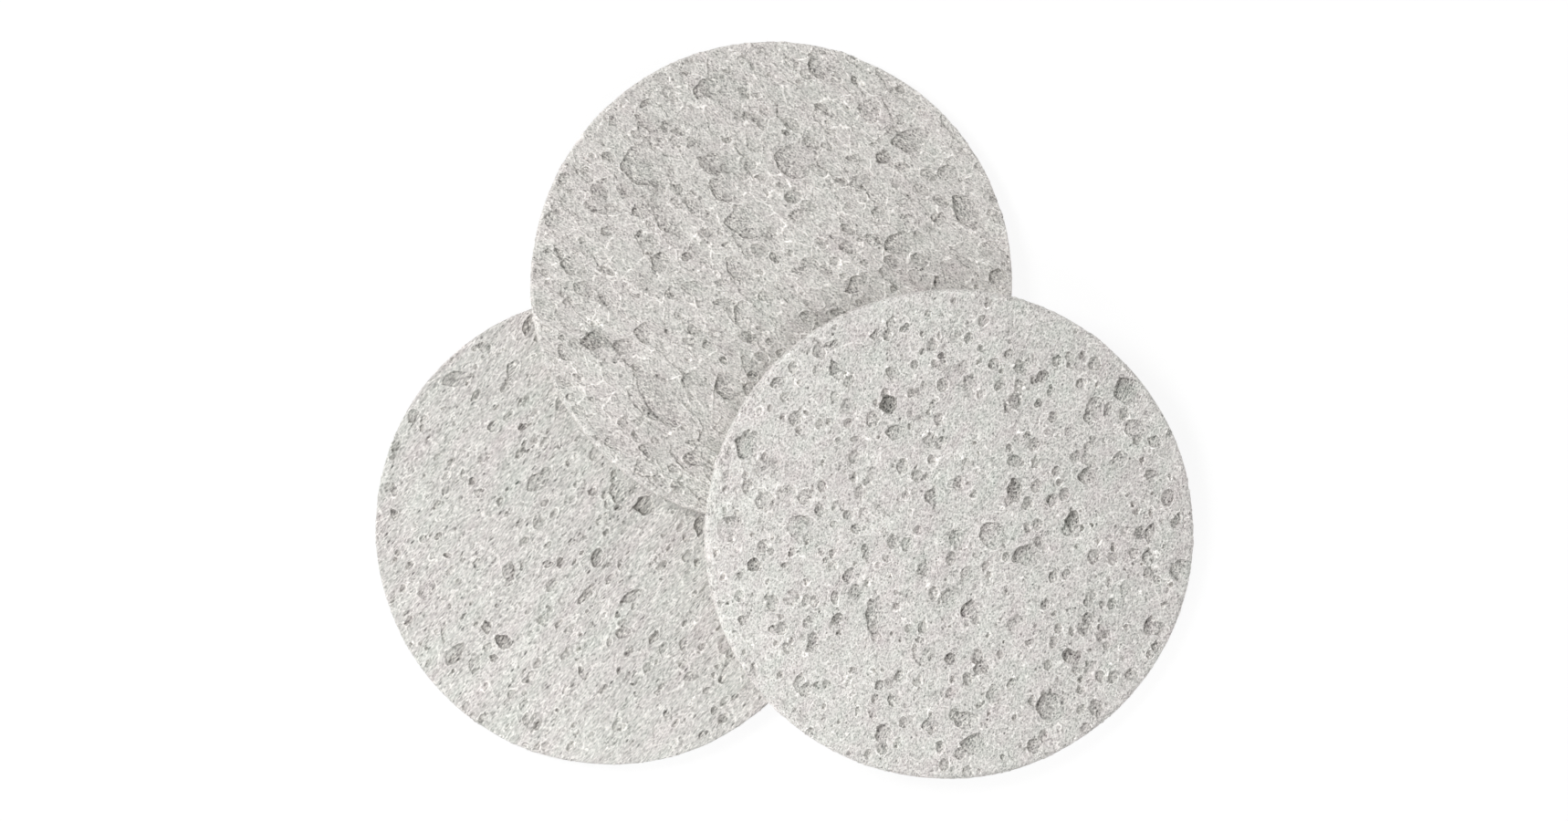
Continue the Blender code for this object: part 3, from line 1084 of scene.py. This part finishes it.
@dataclass
class SpongeDisc:
    """One sponge disc: where it lies, how large it is and what its surface looks like.

    Lengths are in millimetres. The listed pores reach down the rim to lowest_pore. The large
    bubbles appear as far from them as bare_from says, and above the height upper_face only the
    share bare_upper_face of them is left.
    """

    node: str
    body: str
    slot: str
    mount: str
    texture: Texture
    finish: Finish
    pores: list[Pore]
    seed: int
    thickness: float = 3.0
    rim_rounding: float = 1.0
    calm_band: float = 1.0
    calm_from: float = 0.3
    growth: float = 0.32
    upper_spacing: float = 0.18
    lower_spacing: float = 0.45
    rim_spacing: float = 0.28
    ring_growth: int = 6
    uneven_outline: float = 0.25
    outline_band: float = 6.0
    outline_waves: tuple[int, ...] = (2, 3, 5, 7, 11, 17, 29)
    unevenness: float = 0.014
    wander_lengths: tuple[float, ...] = (4.0, 2.2, 1.2)
    wander_seed: int = 100
    lowest_pore: float = -0.2
    bare_from: Pair = (2.0, 4.0)
    bare_upper_face: float = 0.35
    upper_face: float = 0.5
    carving: Carving = Carving()

    @property
    def mount_record(self) -> dict:
        """The record's entry for the disc's upper face."""
        return next(m for m in frame["record"]["mounts"] if m["name"] == self.mount)

    @property
    def normal(self) -> Vector:
        """Normal of the disc's upper face."""
        return Vector(self.mount_record["axis"]).normalized()

    @property
    def pose(self) -> Matrix:
        """Find how the disc lies.

        Returns:
            The place and tilt of its middle.
        """
        tilt = Vector((0.0, 0.0, 1.0)).rotation_difference(self.normal).to_matrix().to_4x4()
        face = Vector(self.mount_record["pos_m"])
        return Matrix.Translation(face - self.normal * self.thickness / 2.0 * MM) @ tilt

    @property
    def radius(self) -> float:
        """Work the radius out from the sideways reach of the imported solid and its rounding.

        Returns:
            The radius in millimetres.
        """
        low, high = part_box(self.node)
        lean = self.normal.x
        reach = (high[0] - low[0]) / 2.0 / MM
        wall = self.thickness / 2.0 - SOLID_ROUNDING
        core = (reach - SOLID_ROUNDING - wall * abs(lean)) / math.sqrt(1.0 - lean**2)
        return core + SOLID_ROUNDING + self.growth

    def rings(self) -> np.ndarray:
        """Lay rings from the middle of the upper face round the rim to the middle of the lower.

        Returns:
            Rows of radius, height, way along the surface from the nearer middle and number of
            points.
        """
        core = self.radius - self.rim_rounding
        half = self.thickness / 2.0
        upper = round(core / self.upper_spacing)
        lower = round(core / self.lower_spacing)
        steps = round(math.pi / 2.0 * self.rim_rounding / self.rim_spacing)
        rows = []
        for ring in range(upper + 1):
            reach = core * ring / upper
            rows.append((reach, half, reach, max(self.ring_growth * ring, 1)))
        for step in range(1, 2 * steps + 1):
            angle = math.pi / 2.0 * step / steps
            across = self.rim_rounding * math.sin(angle)
            wall = np.sign(steps - step) * (half - self.rim_rounding)
            way = core + self.rim_rounding * min(angle, math.pi - angle)
            height = wall + self.rim_rounding * math.cos(angle)
            rows.append((core + across, height, way, self.ring_growth * upper))
        for ring in range(lower - 1, -1, -1):
            reach = core * ring / lower
            rows.append((reach, -half, reach, max(self.ring_growth * ring, 1)))
        return np.array(rows)

    def blank(self) -> bpy.types.Object:
        """Build the smooth disc, lying level round the origin, with its map for baking.

        Returns:
            The disc's object.
        """
        rings = self.rings()
        counts = rings[:, 3].astype(int)
        starts = np.concatenate([[0], np.cumsum(counts)[:-1]])
        around = np.concatenate([np.arange(n) / n for n in counts]) * 2.0 * math.pi
        radius, height, way = (np.repeat(rings[:, c], counts) for c in range(3))
        dent = self.outline_dent(around) * smooth(radius, self.radius - self.outline_band, self.radius)
        points = np.stack(
            [(radius - dent) * np.cos(around), (radius - dent) * np.sin(around), height], axis=1
        )
        joined = [
            stitch(starts[k], counts[k], starts[k + 1], counts[k + 1]) for k in range(len(rings) - 1)
        ]
        triangles = np.concatenate(joined)
        mesh = bpy.data.meshes.new(self.node + "_foam")
        mesh.from_pydata(points * MM, [], triangles.tolist())
        equator = int(np.argmax(rings[:, 0]))
        above = np.repeat([k < equator for k in range(len(joined))], [len(part) for part in joined])
        self.add_map(mesh, triangles, above, around, way / way.max())
        calm = smooth(radius, self.radius - self.calm_band, self.radius - self.calm_from)
        self.add_values(mesh, points, calm)
        mesh.shade_smooth()
        return add_object(self.node + "_foam", mesh)

    def outline_dent(self, around: np.ndarray) -> np.ndarray:
        """Find how far the outline falls short of a true circle.

        Args:
            around: Angles round the disc.

        Returns:
            The dent at each angle, in millimetres.
        """
        chance = np.random.default_rng(self.seed)
        dent = np.zeros_like(around)
        for waves in self.outline_waves:
            dent += np.sin(waves * around + chance.uniform(0.0, 2.0 * math.pi)) / math.sqrt(waves)
        return self.uneven_outline * (dent - dent.min()) / (dent.max() - dent.min())

    def add_map(
        self,
        mesh: bpy.types.Mesh,
        triangles: np.ndarray,
        above: np.ndarray,
        around: np.ndarray,
        way: np.ndarray,
    ) -> None:
        """Lay the upper half in a large circle of the map and the lower half in a small one.

        Args:
            mesh: The disc's mesh.
            triangles: Its triangles.
            above: Which triangles lie above the widest ring.
            around: Each point's angle.
            way: Each point's way from the nearer middle, as a share of the longest.
        """
        upper_circle, lower_circle, margin = 0.36, 0.22, 0.005
        circle = np.where(above, upper_circle, lower_circle)[:, None]
        middle = np.where(above, upper_circle + margin, 1.0 - lower_circle - margin)[:, None]
        reach = circle * way[triangles]
        spots = [middle + reach * wave(around[triangles]) for wave in (np.cos, np.sin)]
        layer = mesh.uv_layers.new(name="OFBake")
        layer.data.foreach_set("uv", np.stack(spots, axis=2).ravel())

    def add_values(self, mesh: bpy.types.Mesh, points: np.ndarray, rim_share: np.ndarray) -> None:
        """Press in the listed pores, as values that the surface tree reads.

        Args:
            mesh: The disc's mesh.
            points: Its points, in millimetres.
            rim_share: How much each point belongs to the calmer band along the rim.
        """
        depth, shade, edge = (np.zeros(len(points)) for _ in range(3))
        nearest = np.full(len(points), FARTHEST)
        chance = np.random.default_rng(self.seed)
        upper = points[:, 2] > self.lowest_pore
        across, up = self.wander(points[upper, 0], points[upper, 1])
        for pore in self.pores:
            phases = chance.uniform(0.0, 2.0 * math.pi, len(self.carving.waves))
            x, y = self.place_of(pore)
            middle = self.wander(np.array([x]), np.array([y]))
            found = self.pore_shape(pore, across - middle[0], up - middle[1], phases)
            for so_far, value in zip((depth, shade, edge), found):
                so_far[upper] = np.maximum(so_far[upper], value)
            nearest[upper] = np.minimum(nearest[upper], found[3])
        kept = np.where(points[:, 2] > self.upper_face, self.bare_upper_face, 1.0)
        # Besides their depth, the pores carry their painted shade, their lip mask and the way from their
        # rim.
        values = {
            "placed_depth": depth,
            "placed_shade": shade,
            "placed_edge": edge,
            "placed_away": nearest,
            "bare": smooth(nearest, *self.bare_from) * kept,
            "rim_share": rim_share,
        }
        for name, value in values.items():
            mesh.attributes.new(name, "FLOAT", "POINT").data.foreach_set("value", value)

    def wander(self, x: np.ndarray, y: np.ndarray) -> tuple[np.ndarray, np.ndarray]:
        """Shift places a little, in waves of several lengths, so that no outline is regular.

        Args:
            x: Each place across, in millimetres.
            y: Each place up.

        Returns:
            The shifted places.
        """
        chance = np.random.default_rng(self.seed + self.wander_seed)
        moved = [x.copy(), y.copy()]
        for length in self.wander_lengths:
            for axis in moved:
                for way, phase in chance.uniform(0.0, 2.0 * math.pi, (3, 2)):
                    along = x * math.cos(way) + y * math.sin(way)
                    axis += self.unevenness * length * np.sin(2.0 * math.pi * along / length + phase)
        return moved[0], moved[1]

    def place_of(self, pore: Pore) -> tuple[float, float]:
        """Find a pore's place on the level disc.

        Args:
            pore: The pore.

        Returns:
            Its place across and up from the disc's middle, in millimetres.
        """
        face = Vector(self.mount_record["pos_m"])
        local = self.pose.inverted() @ STUDIO.on_plane(pore.x, pore.y, face, self.normal)
        return local.x / MM, local.y / MM

    def pore_shape(
        self, pore: Pore, x: np.ndarray, y: np.ndarray, phases: np.ndarray
    ) -> tuple[np.ndarray, np.ndarray, np.ndarray, np.ndarray]:
        """Work out one pore.

        Args:
            pore: The pore.
            x: Each point's place across from its middle, in millimetres.
            y: Each point's place up from its middle.
            phases: Angles that make its outline uneven, one for each of its waves.

        Returns:
            Its depth, painted shade and lip mask at each point, and the way from its rim in millimetres.
        """
        form = pore.form.value
        carve = self.carving
        turn = math.radians(pore.turn)
        half_length = pore.length / 2.0 / STUDIO.pixels_per_mm
        half_width = pore.width / 2.0 / STUDIO.pixels_per_mm
        u = (x * math.cos(turn) + y * math.sin(turn)) / half_length
        v = (y * math.cos(turn) - x * math.sin(turn)) / half_width
        v = v * (1.0 + carve.taper * (1.0 - pore.width / pore.length) * u**2)
        around = np.arctan2(v, u)
        uneven = np.ones_like(around)
        for (waves, share), phase in zip(carve.waves, phases):
            uneven += share * np.sin(waves * around + phase)
        off = np.hypot(u, v) / uneven
        beyond = (off - 1.0) * math.sqrt(half_length * half_width)
        side = np.cos(np.arctan2(y, x) - math.radians(pore.deep_side))
        within = np.minimum(off, 1.0)
        inside = smooth(-beyond / (form.wall * (1.0 - form.lean * side)), 0.0, 1.0)
        deepest = min(form.depth * 2.0 * min(half_length, half_width), form.deepest)
        floor = (1.0 + form.tilt * side * within) / (1.0 + form.tilt)
        # Painted shadow in the corner on the deep side, on top of the painted shade of the floor.
        corner = smooth(side, *carve.corner_side) * hump(beyond, *carve.corner_place)
        shade = form.shade * (1.0 - smooth(beyond, *carve.shade_end)) * (1.0 + form.corner * corner)
        # Painted light: the floor's painted shade gives way on the side away from the deep side.
        shade *= 1.0 - form.fade * smooth(-side * within, *carve.light_side)
        return deepest * floor * inside, shade, hump(beyond, *carve.lip_place), beyond

    def build(self, surface: SurfaceTree, cellulose: Cellulose) -> bpy.types.Object:
        """Build the disc, lay it in its place, hang it on its body and hide the imported part.

        Args:
            surface: The tree that makes the sponge's surface.
            cellulose: The maker of its material.

        Returns:
            The finished piece.
        """
        piece = self.blank()
        material = cellulose.material(self.finish, self.texture.folds)
        surface.press(piece, self.texture, material)
        piece.data.transform(self.pose)
        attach(piece, self.body)
        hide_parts(self.node)
        return piece


def pores(*rows: tuple) -> list[Pore]:
    """Make a pore of each row of sizes."""
    return [Pore(*row) for row in rows]


STUDIO = Studio()

PIT, DEEP, VOID, SCOOP, DISH, FOLD = PoreForm

TOP_PORES = pores(
    (974, 443, 23, 19, 20, VOID), (982, 474, 22, 18, 10), (918, 407, 26, 15, -60, SCOOP),
    (978, 411, 20, 12, -75, SCOOP), (960, 369, 13, 12), (991, 361, 10, 9), (976, 355, 16, 9, 70),
    (915, 377, 13, 10, 20), (853, 420, 20, 13, 25, SCOOP), (908, 378, 12, 8), (894, 406, 12, 8, 80),
    (822, 489, 36, 28, 60, SCOOP), (1032, 390, 12, 8, 10, DEEP), (1008, 431, 14, 12, 80, DISH),
    (1023, 443, 10, 9), (938, 482, 14, 10), (1142, 413, 20, 12, 50, DEEP), (1090, 400, 15, 14),
    (1106, 388, 13, 12), (1062, 418, 25, 9, 70, SCOOP), (1126, 402, 22, 15, 75, DISH),
    (1152, 430, 14, 10, 75), (1138, 442, 12, 8, 80, DEEP), (1172, 390, 11, 10), (1105, 448, 11, 10),
    (1236, 430, 31, 30, 90, SCOOP), (1243, 469, 24, 20, 0, DISH), (1185, 420, 13, 12),
    (1195, 458, 18, 14, 80), (1200, 448, 30, 20, 60, DISH), (1214, 450, 24, 10, 70, SCOOP),
    (1126, 477, 9, 7, 40, DEEP), (1265, 485, 20, 12, -30), (1191, 523, 22, 18, 0, PIT),
    (1227, 504, 22, 17, 60, DISH), (1158, 517, 13, 12), (1112, 538, 28, 16, 100, DEEP),
    (1154, 549, 18, 15, 0, PIT), (1020, 545, 19, 14, 70), (1176, 571, 22, 19, 90, DEEP),
    (1089, 587, 33, 31, 0, DISH), (1127, 609, 32, 26, 0, SCOOP), (1103, 610, 12, 10, 80),
    (1155, 632, 17, 12, 70), (1168, 630, 13, 10, 80), (1051, 589, 20, 19, 0, DISH),
    (1063, 669, 22, 20, 0, PIT), (1040, 658, 22, 17, 80, DISH), (1060, 631, 20, 15, 70, DISH),
    (957, 674, 46, 18, 75, SCOOP, 190), (900, 562, 16, 13), (929, 565, 13, 12), (913, 575, 10, 9),
    (827, 620, 18, 15, 0, DEEP), (812, 632, 10, 8, 70), (862, 620, 12, 8), (906, 614, 9, 8),
    (930, 632, 19, 14, 70), (950, 610, 17, 10, 80), (972, 613, 10, 8, 80), (938, 580, 13, 12),
    (949, 602, 12, 11), (915, 655, 16, 12, 80), (1042, 723, 15, 13, 0, DEEP), (1008, 702, 10, 8),
    (1173, 720, 19, 17, 0, DEEP), (1128, 705, 11, 10), (1074, 733, 18, 16), (1108, 750, 16, 10, 70),
    (1090, 762, 24, 19, 80, DISH), (985, 742, 13, 12), (965, 752, 14, 13), (935, 735, 10, 9),
    (875, 748, 20, 12, 75), (896, 752, 11, 10), (890, 710, 14, 12, 70), (980, 769, 15, 14),
    (1154, 775, 42, 31, -8, SCOOP), (1058, 791, 29, 22, 10), (1069, 816, 29, 25, 0, SCOOP),
    (969, 805, 22, 20), (1015, 795, 14, 12, 80), (940, 780, 12, 8, 70), (1134, 818, 18, 17),
    (1262, 687, 24, 18, 80), (1268, 710, 14, 12, 80), (1260, 585, 24, 13, 80),
    (1258, 611, 22, 13, 80, SCOOP), (1208, 663, 10, 9), (1192, 661, 12, 10), (1194, 677, 14, 12),
    (1240, 740, 15, 14), (1205, 782, 14, 8, 70), (1262, 521, 15, 14), (1290, 568, 14, 8, 80),
    (918, 678, 13, 12, 0, DEEP), (887, 682, 16, 14, 0, DISH), (815, 680, 12, 11), (848, 690, 12, 11),
    (842, 655, 10, 8), (1012, 623, 15, 13, 80, DISH),
)

MIDDLE_PORES = pores(
    (706, 113, 14, 9, 40, DEEP), (671, 134, 12, 10), (716, 136, 48, 18, -20, FOLD, 215),
    (731, 138, 16, 12), (786, 97, 42, 28, -10, DISH), (768, 98, 24, 16, 80, PIT, 180),
    (706, 179, 54, 46, 0, FOLD, 215), (642, 188, 12, 10), (618, 195, 14, 13), (626, 210, 10, 8),
    (663, 199, 18, 10, 0, DISH), (655, 226, 28, 16, -45, FOLD, 225), (669, 252, 20, 14, 0, FOLD, 190),
    (696, 231, 14, 8, 90, DEEP, 180), (706, 232, 26, 18, 0, DISH), (734, 242, 48, 26, -38, FOLD, 225),
    (701, 257, 10, 8, 90, DEEP), (704, 265, 12, 8), (716, 262, 18, 13, -50, FOLD, 225),
    (723, 287, 24, 22, 0, PIT, 150), (751, 281, 12, 11, 0, DEEP), (744, 308, 14, 5, 75, PIT),
    (791, 180, 54, 20, -12, DISH, 190), (769, 178, 12, 8, 90, DEEP, 180),
    (797, 183, 18, 12, 0, PIT, 190), (812, 164, 24, 9, -50, FOLD, 225),
    (825, 161, 20, 11, -40, FOLD, 215), (796, 208, 46, 26, -30, FOLD, 205),
    (781, 206, 20, 6, -65, DEEP, 210), (821, 242, 56, 36, -5, FOLD, 215), (763, 229, 28, 16, -40, DISH),
    (606, 241, 24, 18, 0, DISH), (628, 291, 30, 20, -10, FOLD, 185), (601, 275, 10, 5),
    (645, 275, 6, 4), (671, 300, 8, 4), (640, 315, 20, 14, 0, DISH), (600, 310, 8, 6),
    (807, 293, 32, 22, -45, FOLD, 215), (795, 268, 10, 8), (793, 310, 20, 10, 0, DISH),
    (761, 315, 28, 18, 0, DISH), (820, 127, 10, 10), (836, 135, 14, 14, 0, DISH),
    (725, 157, 14, 12, 0, DISH), (737, 190, 20, 12, 80, DISH), (760, 160, 20, 8, 0, DISH),
    (790, 331, 20, 8), (895, 73, 30, 19, -60, PIT, 200), (936, 88, 14, 8, -70, DEEP),
    (917, 86, 16, 12, 0, DISH), (951, 116, 28, 12, 10, DISH), (986, 130, 14, 10, 0, DISH),
    (998, 152, 42, 27, 10, PIT, 190), (938, 174, 25, 9, -15, PIT, 190), (927, 185, 8, 6),
    (957, 158, 8, 6), (968, 172, 16, 14, 0, DEEP, 190), (941, 198, 28, 14, 30, DISH),
    (1038, 189, 22, 20, 0, DISH), (1060, 233, 44, 27, -55, PIT, 200),
    (1048, 218, 12, 9, -40, DEEP, 190), (1031, 242, 16, 12, 80, PIT, 180),
    (986, 268, 32, 27, 0, PIT, 185), (873, 175, 50, 38, 0, FOLD, 200), (861, 145, 10, 7, -50, DEEP),
    (870, 214, 20, 17, 0, PIT, 215), (849, 282, 16, 9, -50, DEEP, 225), (878, 236, 26, 16, 0, DISH),
    (962, 232, 15, 13), (939, 311, 30, 18, 30, PIT, 190), (980, 316, 10, 8, 0, DEEP),
    (1013, 295, 14, 6), (1092, 303, 20, 17, 0, PIT), (884, 298, 34, 14, -5, DISH),
    (1026, 310, 16, 8, 90, DEEP), (1070, 315, 8, 5), (995, 237, 8, 5), (990, 222, 12, 10, 0, DISH),
    (943, 262, 10, 8), (948, 288, 13, 9, 0, PIT, 185), (893, 184, 14, 10, 0, DISH),
    (1085, 268, 20, 10, 0, DISH), (649, 373, 26, 21, 0, DEEP, 200), (683, 378, 24, 18, 0, PIT, 160),
    (710, 364, 36, 24, -10, FOLD, 190), (621, 386, 27, 18, -45, FOLD, 200), (614, 370, 8, 6, 0, DEEP),
    (813, 341, 26, 20, 55, FOLD, 185), (824, 371, 12, 11, 0, DEEP), (844, 374, 10, 8),
    (800, 424, 42, 28, -45, FOLD, 210), (793, 395, 12, 7, -50, DEEP), (815, 392, 10, 5),
    (832, 392, 10, 4), (775, 378, 14, 10), (766, 366, 16, 10, 0, DISH), (757, 418, 23, 16, 0, DISH),
    (722, 437, 80, 34, -52, FOLD, 225), (706, 448, 12, 5, -50, DEEP), (681, 463, 8, 6),
    (696, 478, 11, 8, -40, DEEP), (712, 493, 25, 15, -8, FOLD, 200), (650, 438, 16, 5, -10),
    (625, 435, 11, 10), (764, 502, 34, 17, 0, FOLD, 200), (770, 485, 38, 12, 0, DISH),
    (788, 505, 10, 6, 80), (655, 500, 14, 4, -50),
)

BOTTOM_PORES = pores(
    (577, 358, 22, 12, 80, DEEP, 0), (562, 405, 22, 15, 50, DISH), (556, 418, 9, 5, 55, DEEP),
    (589, 528, 34, 20, 40, DISH), (682, 537, 32, 26, 30, DISH, 180), (705, 554, 25, 22, 0, DEEP, 200),
    (677, 557, 11, 8, 0, DEEP), (664, 554, 10, 5, 110, DEEP), (737, 561, 6, 5, 0, DEEP),
    (766, 577, 26, 11, 85, DEEP, 180), (733, 601, 10, 6, 60, DEEP), (764, 617, 11, 8, 60, DEEP),
    (725, 635, 7, 4, 0, DEEP), (655, 612, 22, 18, 80, PIT, 150), (667, 618, 10, 5, 70, DEEP),
    (679, 621, 9, 5, 80, DEEP), (614, 616, 14, 11, 80, DEEP), (600, 618, 12, 9, 0, DISH),
    (638, 606, 8, 6, 0, DEEP), (643, 651, 30, 9, 50, DEEP), (695, 653, 30, 13, 25, PIT),
    (558, 627, 22, 15, 80, PIT, 0), (453, 456, 16, 13, 60, PIT, 250), (462, 469, 11, 6, 70, DEEP),
    (485, 448, 6, 5, 0, DEEP), (529, 391, 5, 4), (518, 437, 9, 5, 60, DEEP), (545, 446, 7, 5, 60, DEEP),
    (573, 468, 11, 8, 30, DEEP), (574, 488, 14, 6, 55, DEEP), (579, 494, 8, 5, 30, DEEP),
    (572, 440, 22, 7, 60), (434, 486, 24, 12, 75, PIT, 250), (430, 502, 10, 5, 20),
    (433, 564, 15, 8, 100, DEEP), (432, 538, 12, 7, 90), (436, 606, 10, 6, 100, DEEP),
    (490, 609, 8, 7, 0, DEEP), (480, 588, 13, 8, 50, DEEP), (490, 540, 14, 11, 80, DISH),
    (507, 520, 14, 6, 75), (530, 501, 18, 10, 30, DISH), (541, 467, 16, 12, 50, PIT),
    (533, 688, 16, 12, 100, DEEP, 180), (552, 704, 21, 15, -30, DEEP), (535, 710, 11, 9, 0, DISH),
    (541, 721, 12, 9, 70, DEEP), (521, 728, 26, 15, 85, DISH, 250), (486, 692, 30, 6, 85, PIT, 180),
    (470, 727, 12, 8, 60), (498, 716, 30, 17, 50, PIT, -40), (497, 722, 9, 6, 40, DEEP),
    (467, 711, 6, 4, 0, DEEP), (478, 693, 10, 6, 80), (516, 661, 7, 5, 60, DEEP),
    (544, 664, 6, 5, 0, DEEP), (509, 674, 8, 4, 40, DEEP), (524, 619, 14, 11, 80, DISH),
    (502, 638, 12, 7, 50), (505, 612, 9, 4, 45), (572, 621, 9, 5, 80), (527, 541, 12, 10, 0, DISH),
    (555, 563, 7, 6), (588, 568, 18, 6, 45), (622, 508, 7, 5, 80, DEEP), (613, 491, 6, 5),
    (628, 519, 6, 4), (650, 540, 14, 8, -30), (673, 519, 12, 7, 60, DEEP), (636, 696, 7, 5, 80, DEEP),
    (644, 671, 7, 6), (677, 674, 9, 7, 80, DEEP), (683, 694, 18, 15, 0, PIT, 170),
    (717, 699, 20, 9, 60, DEEP), (728, 712, 16, 11, 80, DISH), (749, 707, 18, 9, 80),
    (758, 742, 18, 12, 20, DISH), (786, 731, 8, 6, 50, DEEP), (783, 740, 9, 7),
    (791, 745, 11, 8, 30, DEEP), (775, 757, 15, 7, 20), (783, 779, 11, 8, 60), (638, 737, 13, 9, 90),
    (632, 723, 6, 5, 0, DEEP), (678, 735, 11, 6, 70, DEEP), (694, 750, 5, 4, 0, DEEP), (721, 759, 9, 8),
    (697, 760, 9, 5, 80), (733, 787, 20, 9, -65, DISH), (770, 806, 15, 9, 50), (576, 788, 15, 8, 80),
    (556, 797, 9, 5, 60), (555, 771, 11, 7, 80, DISH), (530, 786, 13, 10, 60),
    (511, 776, 15, 11, 80, DISH), (518, 783, 9, 4, 50), (575, 760, 8, 6), (611, 779, 6, 5, 0, DEEP),
    (631, 780, 5, 4), (629, 795, 9, 5, 30), (600, 665, 5, 4, 0, DEEP), (570, 662, 7, 4, 80),
    (500, 415, 36, 20, 20, DISH), (530, 380, 15, 12, 0, DISH), (598, 517, 14, 9, 40),
)

DISCS = [
    SpongeDisc(
        node="bottom_sponge_disc",
        body="bottom_disc",
        slot="bottom_cellulose",
        mount="bottom_disc_face",
        texture=Texture(
            large=Bubbles(4.6, 0.7, 0.5, 1.5, 1.1, stretch=1.5, turn=52.0, seed=1.0),
            medium=Bubbles(2.0, 0.7, 0.25, 0.75, 0.34, stretch=1.7, turn=52.0, seed=2.0),
            small=Bubbles(0.80, 0.8, 0.09, 0.28, 0.22, stretch=3.2, turn=50.0, shade=0.9, seed=3.0),
            folds=Folds(2.2, 2.6, 50.0, 0.13, 0.07, 0.035, 160.0, 0.4, 0.30, seed=4.0),
            crumb=Crumb(0.45, 2.0, 52.0, 0.035, seed=21.0),
        ),
        finish=Finish(
            "bottom_cellulose_foam",
            (0.616, 0.601, 0.576),
            (0.30, 0.29, 0.273),
            stretch=3.2,
            turn=50.0,
            ridges=0.6,
            grain=0.22,
            speckle=0.56,
            dots=0.60,
            fall=0.001,
            fall_way=135.0,
            bump=0.65,
        ),
        pores=BOTTOM_PORES,
        seed=11,
        rim_rounding=0.7,
        calm_band=0.6,
    ),
    SpongeDisc(
        node="middle_sponge_disc",
        body="middle_disc",
        slot="middle_cellulose",
        mount="middle_disc_face",
        texture=Texture(
            large=Bubbles(6.0, 0.8, 0.9, 2.4, 1.2, stretch=1.5, flatten=0.6, turn=-35.0, seed=5.0),
            medium=Bubbles(
                2.4, 0.85, 0.40, 1.10, 0.26, stretch=1.6, flatten=0.6, turn=-25.0, shade=0.5, seed=6.0
            ),
            small=Bubbles(1.1, 0.7, 0.15, 0.38, 0.2, stretch=2.0, turn=-38.0, seed=7.0),
            folds=Folds(2.6, 1.7, -32.0, 0.28, 0.12, 0.046, 215.0, 0.38, 0.66, seed=8.0),
            crumb=Crumb(0.50, 1.7, -40.0, 0.05, seed=22.0),
        ),
        finish=Finish(
            "middle_cellulose_foam",
            (0.636, 0.616, 0.590),
            (0.33, 0.318, 0.30),
            stretch=1.8,
            turn=-35.0,
            ridges=0.90,
            grain=0.23,
            dots=0.40,
            tint=0.07,
            edge=0.90,
            fall=0.0008,
            fall_way=120.0,
            rim_light=0.13,
        ),
        pores=MIDDLE_PORES,
        seed=12,
    ),
    SpongeDisc(
        node="top_sponge_disc",
        body="top_disc",
        slot="top_cellulose",
        mount="top_disc_face",
        texture=Texture(
            large=Bubbles(5.0, 0.8, 0.8, 2.0, 1.3, seed=9.0),
            medium=Bubbles(2.3, 0.85, 0.35, 1.1, 0.38, stretch=1.25, turn=75.0, shade=0.45, seed=10.0),
            small=Bubbles(0.95, 0.75, 0.11, 0.33, 0.26, stretch=1.3, turn=75.0, shade=0.7, seed=11.0),
            folds=Folds(2.8, 1.2, 20.0, 0.10, 0.06, 0.035, 160.0, 0.35, 0.2, seed=12.0),
            crumb=Crumb(0.45, 1.0, 0.0, 0.045, seed=23.0),
        ),
        finish=Finish(
            "top_cellulose_foam",
            (0.660, 0.643, 0.618),
            (0.315, 0.305, 0.288),
            stretch=1.5,
            turn=62.0,
            ridges=0.5,
            speckle=0.64,
            edge=0.95,
            fall=0.0018,
            fall_way=20.0,
            rim_light=0.05,
        ),
        pores=TOP_PORES,
        seed=13,
        rim_rounding=1.2,
        calm_band=2.0,
    ),
]


def main() -> None:
    """Build the studio and the three discs, and log each disc's radius and number of faces."""
    logging.basicConfig(level=logging.INFO, format="%(name)s: %(message)s")
    STUDIO.build()
    surface = SurfaceTree()
    cellulose = Cellulose()
    for disc in DISCS:
        piece = disc.build(surface, cellulose)
        LOG.info("%s: radius %.2f mm, %d faces", piece.name, disc.radius, len(piece.data.polygons))


if __name__ == "__main__":
    main()
